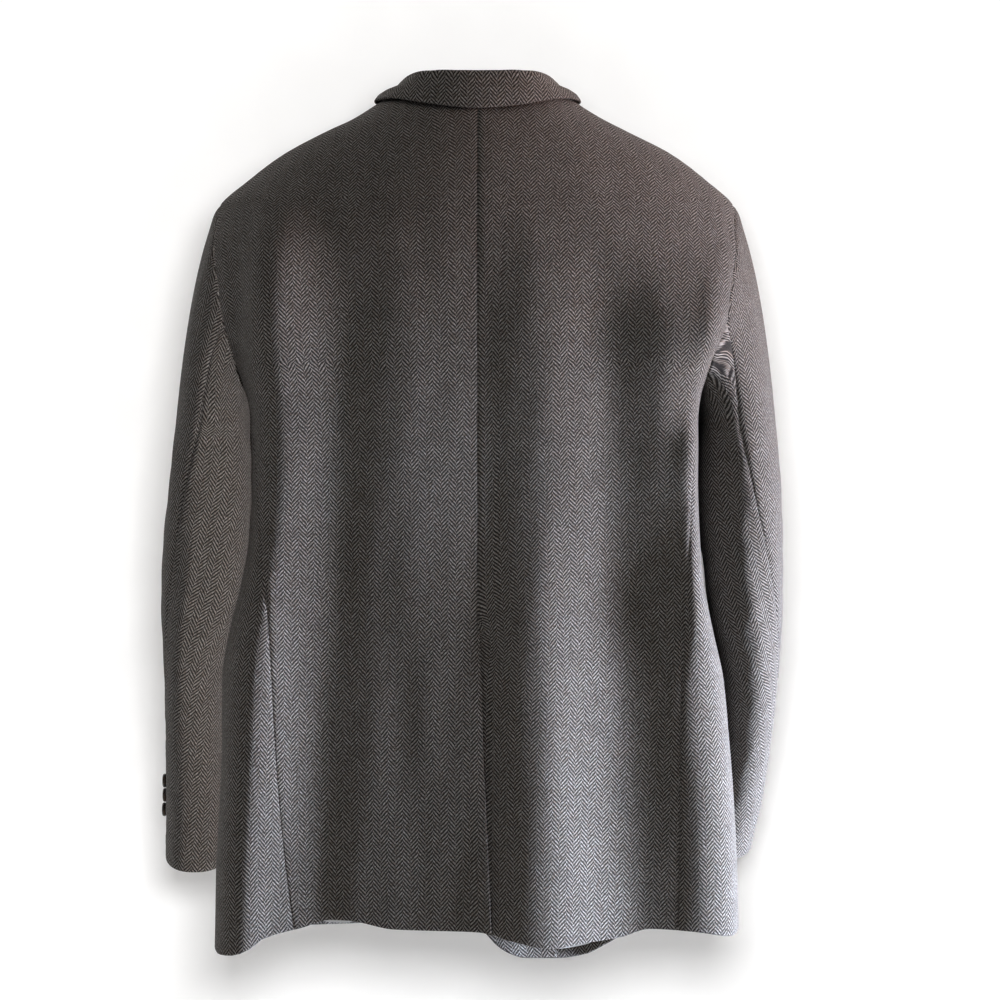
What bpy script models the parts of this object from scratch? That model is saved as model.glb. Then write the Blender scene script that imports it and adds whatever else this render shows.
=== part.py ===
"""A herringbone tweed hacking jacket, hollow and filled out as if worn, with nobody in it.

Units are metres and +Z is up. The back faces -Y, the fronts face +Y and the wearer's right
is +X. The origin is the middle of the neck, level with the neck ends of the shoulder seams.

The body is one form: a ring at every height, given by the table BODY, with soft vertical
folds added from the table FOLDS. A place on the form is a turn about the vertical axis
(0 at the centre back, 90 at the wearer's right side, 180 at the centre front, negative on
the wearer's left), a height, and a lift along the form's normal. Every panel is a grid of
such places between its seams, and whatever lies on or under a panel is made from places of
the same form with another lift. The sleeves are rings along a bent arm, and start from the
armhole's own points.
"""

import math
from collections import namedtuple

import bmesh
import bpy
from mathutils import Vector

# Driving dimensions
CLOTH = 0.002  # wall of the tweed
LINING = 0.001  # wall of the lining
SEAM_GAP = 0.00036  # air between two pieces at a seam
LINING_AIR = 0.0030  # air between the tweed and the lining
LINING_GAP = 0.0008  # drawn in from each edge of a lining or facing
LINING_MARGIN = 0.012  # height of a lining's lower edge above the hem
FRONT_LINING_MARGIN = 0.010
SAG_DEPTH = 0.0145  # the left back's lining hangs lower by this at SAG_CENTRE
SAG_CENTRE = -0.132
SAG_SPREAD = 0.022
HEM_LEVEL = -0.790  # mean height of the hem
VENT_TOP = -0.503  # where the centre back seam opens into the vent
ARMHOLE_SEAM = -0.245  # where the side body's seams meet the armhole
SHOULDER_TIP = -0.088  # outer end of the shoulder seam
NECK_TOP = 0.0175  # inner end of the shoulder seam
FRONT_NECK = 0.0080  # top of the roll line on the fronts
UNDERARM = -0.275  # lowest point of the armhole
ARMHOLE_DEPTH = 0.076  # the armhole's reach behind and in front of the shoulder
ARMHOLE_EGG = 0.15  # how much fuller the armhole is below than above
VENT_LAP = 0.035  # width of the right back's underlap at the vent
LAP_INSET = 0.0062  # how far a lapped under layer sits behind the top layer
LAP_CLEARANCE = 0.044  # how far the left lining keeps from the underlap
BICEP = -0.300  # height of the first full ring of the sleeves
SLEEVE_POWER = 2.3  # squareness of the sleeves' rings
FRONT_POWER = 2.6  # the most that the front of a ring is squared
FOLD_FADE = 0.22  # share of a fold's length over which it rises and dies out
FOLD_CLEAR = 0.060  # reach from the middle plane over which folds fade at the sides

# Rows and columns of the panels' grids
SKIRT_ROWS = 8  # from the hem to the vent's top
WAIST_ROWS = 7  # from the vent's top to the side body's seam at the armhole
ARMHOLE_ROWS = 5  # from that seam to the shoulder tip
SHOULDER_ROWS = 5  # from the shoulder tip to the neck
SEAM_ROW = SKIRT_ROWS + WAIST_ROWS  # the row at ARMHOLE_SEAM
BACK_SHARES = (0.0, 0.08, 0.18, 0.32, 0.46, 0.60, 0.74, 0.88, 1.0)
FRONT_SHARES = (0.0, 0.11, 0.235, 0.38, 0.54, 0.70, 0.85, 1.0)
FACING_COLUMNS = 2  # columns of a front that its facing backs
LINING_FOOT_SHARE = 0.3  # how far a lining's lowest row follows the row above it
LINING_ROWS = (0, 2, 4, 6, 8, 10, 12, 14, 15, 16, 17, 18, 19, 20, 22, 24)
UNDERARM_STEPS = 4
UNDERARM_FADE = -0.42  # below this the side body's rows are level
COLUMN_LEAST = 0.5  # least turn between two columns
DIAGONAL_SHARE = 0.85  # a cell is cut along its other diagonal below this share

# Body rings: half-widths on the wearer's left and right, reach behind and in front, and how
# square the ring is: 2 is an ellipse
Ring = namedtuple("Ring", "z left right back front power")
BODY = (
    Ring(-0.8400, 0.2520, 0.2500, 0.127, 0.106, 7.0),
    Ring(-0.7800, 0.2505, 0.2485, 0.127, 0.106, 7.0),
    Ring(-0.7200, 0.2497, 0.2470, 0.126, 0.106, 7.0),
    Ring(-0.6600, 0.2463, 0.2440, 0.124, 0.106, 7.0),
    Ring(-0.6000, 0.2447, 0.2395, 0.120, 0.105, 6.5),
    Ring(-0.5450, 0.2450, 0.2345, 0.116, 0.104, 6.0),
    Ring(-0.5000, 0.2385, 0.2245, 0.113, 0.104, 5.5),
    Ring(-0.4500, 0.2265, 0.2145, 0.111, 0.104, 5.2),
    Ring(-0.4000, 0.2185, 0.2110, 0.113, 0.106, 5.0),
    Ring(-0.3500, 0.2165, 0.2095, 0.119, 0.110, 5.0),
    Ring(-0.3000, 0.2180, 0.2095, 0.126, 0.114, 4.8),
    Ring(-0.2750, 0.2225, 0.2125, 0.129, 0.115, 4.6),
    Ring(-0.2440, 0.2346, 0.2235, 0.132, 0.116, 4.3),
    Ring(-0.2080, 0.2500, 0.2432, 0.133, 0.115, 3.9),
    Ring(-0.1800, 0.2601, 0.2520, 0.131, 0.113, 3.4),
    Ring(-0.1366, 0.2674, 0.2600, 0.125, 0.107, 2.8),
    Ring(-0.1050, 0.2587, 0.2545, 0.117, 0.099, 2.4),
    Ring(-0.0880, 0.2500, 0.2465, 0.112, 0.094, 2.3),
    Ring(-0.0652, 0.2239, 0.2215, 0.104, 0.086, 2.2),
    Ring(-0.0392, 0.1889, 0.1870, 0.092, 0.074, 2.2),
    Ring(-0.0164, 0.1456, 0.1420, 0.079, 0.059, 2.4),
    Ring(-0.0067, 0.1239, 0.1225, 0.073, 0.052, 2.6),
    Ring(0.0093, 0.0985, 0.0965, 0.060, 0.037, 2.6),
    Ring(0.0180, 0.0853, 0.0845, 0.047, 0.028, 2.6),
)

# Soft vertical folds: place across at the top and at the foot, spread, rise and extent
Fold = namedtuple("Fold", "behind x_top x_foot spread rise z_top z_foot")
FOLDS = (
    Fold(1, -0.200, -0.235, 0.036, 0.0170, -0.12, -1.05),
    Fold(1, -0.112, -0.152, 0.032, -0.0050, -0.10, -1.05),
    Fold(1, -0.052, -0.048, 0.024, 0.0030, -0.08, -0.60),
    Fold(1, 0.006, 0.014, 0.020, -0.0032, -0.10, -1.05),
    Fold(1, 0.054, 0.062, 0.034, 0.0045, -0.08, -1.05),
    Fold(1, 0.030, 0.036, 0.070, 0.0120, -0.34, -1.30),
    Fold(1, 0.118, 0.155, 0.032, -0.0045, -0.10, -1.05),
    Fold(1, 0.206, 0.238, 0.040, 0.0140, -0.10, -1.05),
    Fold(0, -0.150, -0.165, 0.028, -0.0050, -0.14, -0.85),
    Fold(0, -0.095, -0.090, 0.026, 0.0040, -0.30, -0.85),
    Fold(0, 0.140, 0.150, 0.028, -0.0050, -0.14, -0.85),
    Fold(0, 0.090, 0.095, 0.026, 0.0040, -0.30, -0.85),
)

# Hem heights across the back and across each front
HemPoint = namedtuple("HemPoint", "x z")
BACK_HEM = (
    HemPoint(-0.2510, -0.7985),
    HemPoint(-0.2449, -0.8028),
    HemPoint(-0.2330, -0.8024),
    HemPoint(-0.2190, -0.7987),
    HemPoint(-0.2000, -0.7864),
    HemPoint(-0.1640, -0.7774),
    HemPoint(-0.1361, -0.7698),
    HemPoint(-0.1207, -0.7703),
    HemPoint(-0.0780, -0.7782),
    HemPoint(0.0000, -0.7800),
    HemPoint(0.0307, -0.7880),
    HemPoint(0.0697, -0.7947),
    HemPoint(0.0986, -0.7909),
    HemPoint(0.1354, -0.7858),
    HemPoint(0.1613, -0.7785),
    HemPoint(0.2069, -0.7812),
    HemPoint(0.2410, -0.7856),
    HemPoint(0.2485, -0.7820),
)
LEFT_FRONT_HEM = (
    HemPoint(-0.2510, -0.7985),
    HemPoint(-0.1800, -0.7950),
    HemPoint(-0.0900, -0.7950),
    HemPoint(-0.0450, -0.7890),
    HemPoint(-0.0200, -0.7700),
)
RIGHT_FRONT_HEM = (
    HemPoint(0.0059, -0.8047),
    HemPoint(0.0158, -0.8176),
    HemPoint(0.0268, -0.8253),
    HemPoint(0.0417, -0.8302),
    HemPoint(0.0755, -0.8306),
    HemPoint(0.1028, -0.8264),
    HemPoint(0.1252, -0.8158),
    HemPoint(0.1500, -0.8030),
    HemPoint(0.2485, -0.7820),
)

# Seams of the side body on the back, the free edge of the vent, and the front edges
SeamPoint = namedtuple("SeamPoint", "z left right")
SIDE_BACK_SEAM = (
    SeamPoint(-0.800, 0.1700, 0.1873),
    SeamPoint(-0.708, 0.1818, 0.1897),
    SeamPoint(-0.600, 0.1910, 0.1908),
    SeamPoint(-0.536, 0.1945, 0.1934),
    SeamPoint(-0.472, 0.1993, 0.1962),
    SeamPoint(-0.409, 0.2060, 0.2004),
    SeamPoint(-0.340, 0.2110, 0.2040),
    SeamPoint(-0.245, 0.2190, 0.2100),
)
VentPoint = namedtuple("VentPoint", "z x")
VENT_EDGE = (
    VentPoint(-0.7800, 0.0128),
    VentPoint(-0.6836, 0.0086),
    VentPoint(-0.6205, 0.0054),
    VentPoint(-0.5030, 0.0020),
    VentPoint(-0.4700, 0.0000),
)
FRONT_EDGE = (
    SeamPoint(-0.830, -0.0300, 0.0100),
    SeamPoint(-0.805, -0.0260, 0.0059),
    SeamPoint(-0.770, -0.0200, -0.0010),
    SeamPoint(-0.720, -0.0060, -0.0080),
    SeamPoint(-0.660, 0.0080, -0.0140),
    SeamPoint(-0.600, 0.0160, -0.0180),
    SeamPoint(-0.520, 0.0200, -0.0200),
    SeamPoint(-0.335, 0.0200, -0.0200),
    SeamPoint(-0.300, 0.0000, 0.0000),
    SeamPoint(-0.250, -0.0230, 0.0230),
    SeamPoint(-0.200, -0.0410, 0.0410),
    SeamPoint(-0.150, -0.0560, 0.0560),
    SeamPoint(-0.100, -0.0680, 0.0680),
    SeamPoint(-0.060, -0.0745, 0.0745),
    SeamPoint(-0.030, -0.0770, 0.0770),
    SeamPoint(0.0175, -0.0805, 0.0805),
)
QUARTER_FOOT = {-1: -0.770, 1: -0.805}  # where each front's edge meets its hem
SIDE_FRONT_TURN = 112.0  # turn of the side body's front seam, below the armhole
SEAM_BLEND = 0.10  # height over which a side body's back seam bends into the armhole
FRONT_BLEND = 0.15  # the same for its front seam
VENT_BLEND = 0.063  # height above the vent's top where the underlap begins to sink
VENT_LAP_EDGE = 0.034  # the underlap lies fully behind inside this, and fades over LAP_FADE
FRONT_LAP_EDGE = 0.050  # the same for the right front, up to FRONT_LAP_TOP
FRONT_LAP_TOP = -0.250
LAP_FADE = 0.020
LAP_RISE = 0.060

# Back neckline: height at each turn, the same on both sides
NeckPoint = namedtuple("NeckPoint", "turn z")
NECKLINE = (
    NeckPoint(0.0, 0.0020),
    NeckPoint(13.0, 0.0030),
    NeckPoint(30.0, 0.0065),
    NeckPoint(46.0, 0.0125),
    NeckPoint(90.0, NECK_TOP),
)

# Collar stations from the centre back to the gorge, on the wearer's right
Station = namedtuple("Station", "step neck_x neck_z fold_x fold_y fold_z edge_x edge_z sag")
COLLAR = (
    Station(0, 0.0000, 0.0045, 0.0000, -0.0665, 0.0343, 0.0000, -0.0027, 0.0),
    Station(1, 0.0300, 0.0055, 0.0340, -0.0640, 0.0350, 0.0360, 0.0000, 0.0),
    Station(2, 0.0550, 0.0090, 0.0550, -0.0530, 0.0345, 0.0660, 0.0055, 0.0),
    Station(3, 0.0740, 0.0152, 0.0680, -0.0310, 0.0310, 0.0890, 0.0088, 0.0),
    Station(4, 0.0810, 0.0212, 0.0735, -0.0040, 0.0270, 0.0962, 0.0095, 0.0),
    Station(5, 0.0765, 0.0110, 0.0765, 0.0215, 0.0200, 0.1080, -0.0040, 0.0),
    Station(6, 0.0745, -0.0100, 0.0775, 0.0490, 0.0050, 0.1190, -0.0300, 0.0),
    Station(7, 0.0725, -0.0420, 0.0770, 0.0765, -0.0400, 0.1270, -0.0600, 0.014),
)
COLLAR_STEPS = 8  # stations each side of the centre back
LAST_BACK_STATION = 4.0  # beyond this the collar lies in front of the shoulder seam
LEAF_CLEARANCE = 0.0070  # least height of the collar's leaf above the body's form
EDGE_LIFT = 0.0050  # height of the leaf's edge above the body's form
LEAF_BELLY = 0.0015  # how far the leaf swells away from a straight line
FOLD_RADIUS = 0.0029  # round of the cloth where the collar turns over
FOLD_RISE = 0.0022
FOLD_DROP = 0.0020
EDGE_LIMIT = 0.9995  # share of the form's half-width that the leaf's edge may reach

LAPEL_LIFT = 0.0042  # height of a lapel's face above the front's
LAPEL_ROWS = 9
LAPEL_COLUMNS = 4
ROLL_INSET = 0.001  # the lapel starts this far outside the roll line

# Lapel rows from the top button to the gorge: height on the roll line, and the outer edge
LapelRow = namedtuple("LapelRow", "step roll_z edge_x edge_z")
LAPEL = (
    LapelRow(0, -0.296, 0.010, -0.302),
    LapelRow(1, -0.280, 0.050, -0.292),
    LapelRow(2, -0.256, 0.083, -0.262),
    LapelRow(3, -0.215, 0.106, -0.218),
    LapelRow(4, -0.165, 0.123, -0.172),
    LapelRow(5, -0.110, 0.132, -0.128),
    LapelRow(6, -0.052, 0.134, -0.098),
)

# Sleeve rings: reach outwards and inwards from the body's middle plane, rear and front, the
# angles of the two seams round the ring, and how far the ring tilts from rear to front
SleeveRing = namedtuple("SleeveRing", "z outer inner rear front hind fore tilt")
LEFT_SLEEVE = (
    SleeveRing(-0.722, 0.3076, 0.2455, 0.006, 0.104, 2.0, 205.0, 0.30),
    SleeveRing(-0.660, 0.3064, 0.2450, -0.006, 0.099, 10.0, 210.0, 0.25),
    SleeveRing(-0.600, 0.3062, 0.2490, -0.022, 0.091, 17.0, 215.0, 0.20),
    SleeveRing(-0.540, 0.3066, 0.2487, -0.040, 0.084, 28.0, 219.0, 0.12),
    SleeveRing(-0.480, 0.3082, 0.2355, -0.054, 0.078, 39.0, 222.0, 0.06),
    SleeveRing(-0.420, 0.3061, 0.2275, -0.064, 0.075, 52.0, 225.0, 0.0),
    SleeveRing(-0.360, 0.2998, 0.2225, -0.071, 0.073, 62.0, 227.0, 0.0),
    SleeveRing(-0.300, 0.2930, 0.2218, -0.075, 0.072, 78.0, 228.0, 0.0),
)
RIGHT_SLEEVE = (
    SleeveRing(-0.714, 0.2705, 0.2120, 0.056, 0.155, -30.0, 195.0, 0.30),
    SleeveRing(-0.660, 0.2815, 0.2275, 0.035, 0.140, -18.0, 203.0, 0.26),
    SleeveRing(-0.600, 0.2885, 0.2395, 0.004, 0.118, -3.0, 211.0, 0.22),
    SleeveRing(-0.540, 0.2933, 0.2372, -0.030, 0.096, 23.0, 217.0, 0.14),
    SleeveRing(-0.480, 0.2957, 0.2290, -0.050, 0.085, 42.0, 221.0, 0.08),
    SleeveRing(-0.420, 0.2950, 0.2205, -0.063, 0.078, 60.0, 224.0, 0.0),
    SleeveRing(-0.360, 0.2922, 0.2150, -0.071, 0.074, 77.0, 226.0, 0.0),
    SleeveRing(-0.300, 0.2877, 0.2128, -0.075, 0.072, 92.0, 227.0, 0.0),
)
SLEEVES = {-1: LEFT_SLEEVE, 1: RIGHT_SLEEVE}
CAP_STEPS = 5  # rows from the armhole to the first full ring
CAP_OUT = 0.65  # the cap bends this share of the way out to the first ring
CAP_DOWN = 0.25  # and this share of the way down
ARM_STEPS = 9  # rows from the first full ring to the cuff

# Hip pockets: the top edge slants down towards the side
FLAP_INNER = (0.082, -0.508)
FLAP_OUTER = (0.196, -0.548)
FLAP_DEPTH = 0.056
JET_DEPTH = 0.006
FLAP_JET_GAP = 0.0005
POCKET_LIFT = 0.0040  # height of a flap's face above the front's
POCKET_ROWS = 2
POCKET_COLUMNS = 5

# Buttons
FRONT_BUTTON_RADIUS = 0.0105
FRONT_BUTTON_HEIGHTS = (-0.340, -0.440, -0.540)
CUFF_BUTTON_RADIUS = 0.0068
CUFF_BUTTON_HEIGHTS = (-0.6525, -0.6668, -0.6811)
CUFF_BUTTON_ANGLE = {-1: -10.0, 1: -44.0}  # round the cuff from its outermost line
BUTTON_THICKNESS = 0.0035
BUTTON_LIFT = 0.0012  # air under a button, where its thread shank is
BUTTON_SIDES = 14

TWEED = ("tweed", (0.100, 0.090, 0.086), 0.92)
LINING_CLOTH = ("lining", (0.530, 0.540, 0.560), 0.45)
BUTTON = ("button", (0.020, 0.015, 0.012), 0.35)

SIDE_NAMES = {-1: "left", 1: "right"}

Place = namedtuple("Place", "turn z lift")


def mix(start, end, share):
    """Value a share of the way from start to end."""
    return start + (end - start) * share


def soft_step(value):
    """Rises smoothly from 0 to 1 as value goes from 0 to 1."""
    value = min(max(value, 0.0), 1.0)
    return value * value * (3.0 - 2.0 * value)


def column(table, name, at, key="z"):
    """Named column of a table, on a smooth curve through its rows that never overshoots."""
    knots = [getattr(row, key) for row in table]
    values = [getattr(row, name) for row in table]
    if at <= knots[0]:
        return values[0]
    if at >= knots[-1]:
        return values[-1]
    low = max(index for index, knot in enumerate(knots[:-1]) if knot <= at)
    slopes = [(values[i + 1] - values[i]) / (knots[i + 1] - knots[i]) for i in range(len(knots) - 1)]

    def tangent(index):
        """Slope of the curve at a row."""
        if index == 0:
            return slopes[0]
        if index == len(slopes):
            return slopes[-1]
        before, after = slopes[index - 1], slopes[index]
        if before * after <= 0.0:
            return 0.0
        return 2.0 * before * after / (before + after)

    width = knots[low + 1] - knots[low]
    t = (at - knots[low]) / width
    start = values[low] * (1 + 2 * t) * (1 - t) ** 2 + width * tangent(low) * t * (1 - t) ** 2
    end = values[low + 1] * t * t * (3 - 2 * t) + width * tangent(low + 1) * t * t * (t - 1)
    return start + end


RING_STEP = 0.002
RING_COUNT = 430
BODY_TABLES = {
    name: [column(BODY, name, BODY[0].z + RING_STEP * index) for index in range(RING_COUNT)]
    for name in ("left", "right", "back", "front", "power")
}


def body_size(name, z):
    """A size of the body's ring at height z, read between closely spaced rings."""
    position = min(max((z - BODY[0].z) / RING_STEP, 0.0), RING_COUNT - 2.0)
    index = int(position)
    sizes = BODY_TABLES[name]
    return mix(sizes[index], sizes[index + 1], position - index)


def body_power(front, z):
    """Squareness of the ring at height z: the front is rounder than the back."""
    power = body_size("power", z)
    return min(power, FRONT_POWER) if front else power


def form_point(turn, z):
    """Point of the plain form, with no folds, at a turn and a height."""
    angle = math.radians(turn)
    across, ahead = math.sin(angle), -math.cos(angle)
    power = body_power(ahead > 0, z)
    scale = (abs(across) ** power + abs(ahead) ** power) ** (-1.0 / power)
    width = body_size("right" if across > 0 else "left", z)
    depth = body_size("front" if ahead > 0 else "back", z)
    return Vector((width * across * scale, depth * ahead * scale, z))


def form_level(point):
    """Below 1 inside the form and above 1 outside it."""
    width = body_size("right" if point.x > 0 else "left", point.z)
    depth = body_size("front" if point.y > 0 else "back", point.z)
    power = body_power(point.y > 0, point.z)
    return (abs(point.x) / width) ** power + (abs(point.y) / depth) ** power


def form_normal(point):
    """Outward direction of the form at a point on it."""
    reach = RING_STEP
    axes = (Vector((reach, 0, 0)), Vector((0, reach, 0)), Vector((0, 0, reach)))
    slopes = [form_level(point + axis) - form_level(point - axis) for axis in axes]
    return Vector(slopes).normalized()


def turn_at(x, z, side, front):
    """Turn of the form's point at a distance x to the wearer's right, behind or in front."""
    own = x * side
    power = body_power(front, z)
    share = min(abs(own) / body_size(SIDE_NAMES[side], z), 0.9999) ** power
    angle = math.copysign(math.degrees(math.atan((share / (1 - share)) ** (1 / power))), own)
    return side * (180.0 - angle if front else angle)


def relief(point):
    """Height of the folds at a point of the plain form."""
    behind = point.y < 0
    fade = soft_step(abs(point.y) / FOLD_CLEAR)
    total = 0.0
    for fold in FOLDS:
        if bool(fold.behind) != behind or not fold.z_foot < point.z < fold.z_top:
            continue
        share = (fold.z_top - point.z) / (fold.z_top - fold.z_foot)
        centre = mix(fold.x_top, fold.x_foot, share)
        bell = math.exp(-(((point.x - centre) / fold.spread) ** 2))
        ends = soft_step(share / FOLD_FADE) * soft_step((1 - share) / FOLD_FADE)
        total += fold.rise * bell * ends
    return total * fade


def body_point(place):
    """Point of a place on the body, folds included."""
    point = form_point(place.turn, place.z)
    normal = form_normal(point)
    folded = normal if point.y > 0 else Vector((0.0, -1.0, 0.0))
    return point + normal * place.lift + folded * relief(point)


def armhole_point(angle):
    """Height and reach backwards of the armhole, 0 degrees at the shoulder tip."""
    radians = math.radians(angle)
    middle, half = (SHOULDER_TIP + UNDERARM) / 2, (SHOULDER_TIP - UNDERARM) / 2
    z = middle + half * math.cos(radians)
    y = -ARMHOLE_DEPTH * math.sin(radians) * (1 - ARMHOLE_EGG * math.cos(radians))
    return y, z


def armhole_angle(z):
    """Angle at which the armhole's rear half is at height z."""
    middle, half = (SHOULDER_TIP + UNDERARM) / 2, (SHOULDER_TIP - UNDERARM) / 2
    return math.degrees(math.acos(min(max((z - middle) / half, -1.0), 1.0)))


def armhole_place(angle, side):
    """Place on the body of the armhole's point at an angle."""
    y, z = armhole_point(angle)
    power = body_power(y > 0, z)
    share = (abs(y) / body_size("front" if y > 0 else "back", z)) ** power
    turn = 90.0
    if share > 0.0:
        turn = math.degrees(math.atan(((1 - share) / share) ** (1 / power)))
    return Place(side * (180.0 - turn if y > 0 else turn), z, 0.0)


ARMHOLE_ANGLES = [
    mix(armhole_angle(ARMHOLE_SEAM), 0.0, index / ARMHOLE_ROWS) for index in range(ARMHOLE_ROWS + 1)
]


def levels():
    """Heights of the rows shared by every body panel, from the hem to the neck."""
    below = [mix(HEM_LEVEL, VENT_TOP, index / SKIRT_ROWS) for index in range(SKIRT_ROWS)]
    middle = [mix(VENT_TOP, ARMHOLE_SEAM, index / WAIST_ROWS) for index in range(WAIST_ROWS)]
    armhole = [armhole_point(angle)[1] for angle in ARMHOLE_ANGLES[:-1]]
    shoulder = [mix(SHOULDER_TIP, NECK_TOP, index / SHOULDER_ROWS) for index in range(SHOULDER_ROWS + 1)]
    return below + middle + armhole + shoulder


LEVELS = levels()


def hem_height(turn, side, front):
    """Height of the hem at a turn."""
    x = form_point(turn, HEM_LEVEL).x
    table = BACK_HEM
    if front:
        table = RIGHT_FRONT_HEM if side > 0 else LEFT_FRONT_HEM
    return column(table, "z", x, key="x")


def side_back_turn(z, side):
    """Turn of the seam between the back and the side body, or of the armhole above it."""
    if z > ARMHOLE_SEAM - 1e-5:
        if z >= SHOULDER_TIP:
            return side * 90.0
        return armhole_place(armhole_angle(z), side).turn
    blend = soft_step((z - ARMHOLE_SEAM + SEAM_BLEND) / SEAM_BLEND)
    own = turn_at(side * column(SIDE_BACK_SEAM, SIDE_NAMES[side], z), z, side, False)
    return mix(own, armhole_place(armhole_angle(ARMHOLE_SEAM), side).turn, blend)


def side_front_turn(z, side):
    """Turn of the seam between the front and the side body, or of the armhole above it."""
    if z > ARMHOLE_SEAM - 1e-5:
        if z >= SHOULDER_TIP:
            return side * 90.0
        return armhole_place(-armhole_angle(z), side).turn
    blend = soft_step((z - ARMHOLE_SEAM + FRONT_BLEND) / FRONT_BLEND)
    top = armhole_place(-armhole_angle(ARMHOLE_SEAM), side).turn
    return mix(side * SIDE_FRONT_TURN, top, blend)


def row_height(row, hem, top=NECK_TOP):
    """Height of a shared row where the hem and the neck have given heights."""
    low = max(0.0, 1.0 - row / SKIRT_ROWS)
    high = max(0.0, (LEVELS[row] - SHOULDER_TIP) / (NECK_TOP - SHOULDER_TIP))
    return LEVELS[row] + (hem - HEM_LEVEL) * low + (top - NECK_TOP) * high


def back_places(side, inner_turn, lift):
    """Grid of places of a back panel, from the centre back to the side seam and the armhole."""

    def turn_of(index, z):
        """Turn of a column, kept outside the panel's inner edge."""
        if index == 0:
            return inner_turn(z)
        own = side * BACK_SHARES[index] * side_back_turn(z, side)
        return side * max(own, side * inner_turn(z) + index * COLUMN_LEAST)

    grid = []
    for row in range(len(LEVELS)):
        places = []
        for index, share in enumerate(BACK_SHARES):
            neck = column(NECKLINE, "z", 90.0 * share, key="turn")
            z = row_height(row, hem_height(turn_of(index, HEM_LEVEL), side, False), neck)
            turn = turn_of(index, z)
            places.append(Place(turn, z, lift(turn, z)))
        grid.append(places)
    return grid


def front_places(side, lift):
    """Grid of places of a front, from its front edge to the side seam and the armhole."""

    def edge_turn(z):
        """Turn of the front edge, or of the roll line above the top button."""
        return turn_at(column(FRONT_EDGE, SIDE_NAMES[side], z), z, side, True)

    grid = []
    for row in range(len(LEVELS)):
        places = []
        for share in FRONT_SHARES:
            quarter = edge_turn(QUARTER_FOOT[side])
            hem_turn = mix(quarter, side_front_turn(HEM_LEVEL, side), share)
            neck = mix(FRONT_NECK, NECK_TOP, share)
            z = row_height(row, hem_height(hem_turn, side, True), neck)
            turn = mix(edge_turn(z), side_front_turn(z, side), share)
            places.append(Place(turn, z, lift(turn, z)))
        grid.append(places)
    return grid


def side_places(side):
    """Grid of places of a side body, from its back seam to its front seam."""
    grid = []
    seam_angle = ARMHOLE_ANGLES[0]
    for row in range(SEAM_ROW + 1):
        places = []
        for index in range(UNDERARM_STEPS + 1):
            share = index / UNDERARM_STEPS
            hem_turn = mix(side_back_turn(HEM_LEVEL, side), side_front_turn(HEM_LEVEL, side), share)
            top = armhole_place(mix(seam_angle, 360.0 - seam_angle, share), side)
            seams = side_back_turn(ARMHOLE_SEAM, side), side_front_turn(ARMHOLE_SEAM, side)
            straight = mix(*seams, share)
            z = row_height(row, hem_height(hem_turn, side, abs(hem_turn) > 90.0))
            turn = mix(side_back_turn(z, side), side_front_turn(z, side), share)
            high = max(0.0, (LEVELS[row] - UNDERARM_FADE) / (ARMHOLE_SEAM - UNDERARM_FADE))
            turn += (top.turn - straight) * high ** 4
            places.append(Place(turn, z + (top.z - ARMHOLE_SEAM) * high, 0.0))
        grid.append(places)
    return grid


def vent_turn(side):
    """Turn of a back panel's centre edge, as a function of height."""

    def turn(z):
        """The seam above the vent, and the lapped edges below it."""
        if z > VENT_TOP + 0.001:
            return 0.0
        if side < 0:
            return turn_at(column(VENT_EDGE, "x", z), z, 1, False)
        if z > VENT_TOP - 0.001:
            return 0.0
        return turn_at(-VENT_LAP, z, 1, False)

    return turn


def vent_lift(side):
    """Lift of a back panel at a turn and height: the right back lies behind the left."""

    def lift(turn, z):
        """Zero away from the vent."""
        if side < 0:
            return 0.0
        beside = (VENT_LAP_EDGE - form_point(turn, z).x) / LAP_FADE
        return -LAP_INSET * soft_step(beside) * soft_step((VENT_TOP + VENT_BLEND - z) / LAP_RISE)

    return lift


def front_lift(side):
    """Lift of a front at a turn and height: the right front lies behind the left."""

    def lift(turn, z):
        """Zero away from the overlap."""
        if side < 0:
            return 0.0
        beside = (FRONT_LAP_EDGE - form_point(turn, z).x) / LAP_FADE
        return -LAP_INSET * soft_step(beside) * soft_step((FRONT_LAP_TOP - z) / LAP_RISE)

    return lift


def raised(places, amount):
    """The same places, lifted further."""
    return [[Place(p.turn, p.z, p.lift + amount) for p in row] for row in places]


def points_of(places):
    """Points of a grid of places on the body."""
    return [[body_point(place) for place in row] for row in places]


def pulled_in(grid, amount):
    """A grid of points with all four edges drawn inwards, which leaves the seam gaps."""
    rows, columns = len(grid), len(grid[0])
    result = [[point.copy() for point in row] for row in grid]
    for row in range(rows):
        for edge, inward in ((0, 1), (columns - 1, columns - 2)):
            step = (grid[row][inward] - grid[row][edge]).normalized()
            result[row][edge] += step * amount
    for index in range(columns):
        for edge, inward in ((0, 1), (rows - 1, rows - 2)):
            step = (grid[inward][index] - grid[edge][index]).normalized()
            result[edge][index] += step * amount
    return result


def material(finish):
    """The material of a finish, made once."""
    name, colour, roughness = finish
    if name in bpy.data.materials:
        return bpy.data.materials[name]
    made = bpy.data.materials.new(name)
    made.use_nodes = True
    shader = made.node_tree.nodes["Principled BSDF"]
    shader.inputs["Base Color"].default_value = (*colour, 1.0)
    shader.inputs["Roughness"].default_value = roughness
    shader.inputs["Metallic"].default_value = 0.0
    return made


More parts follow.
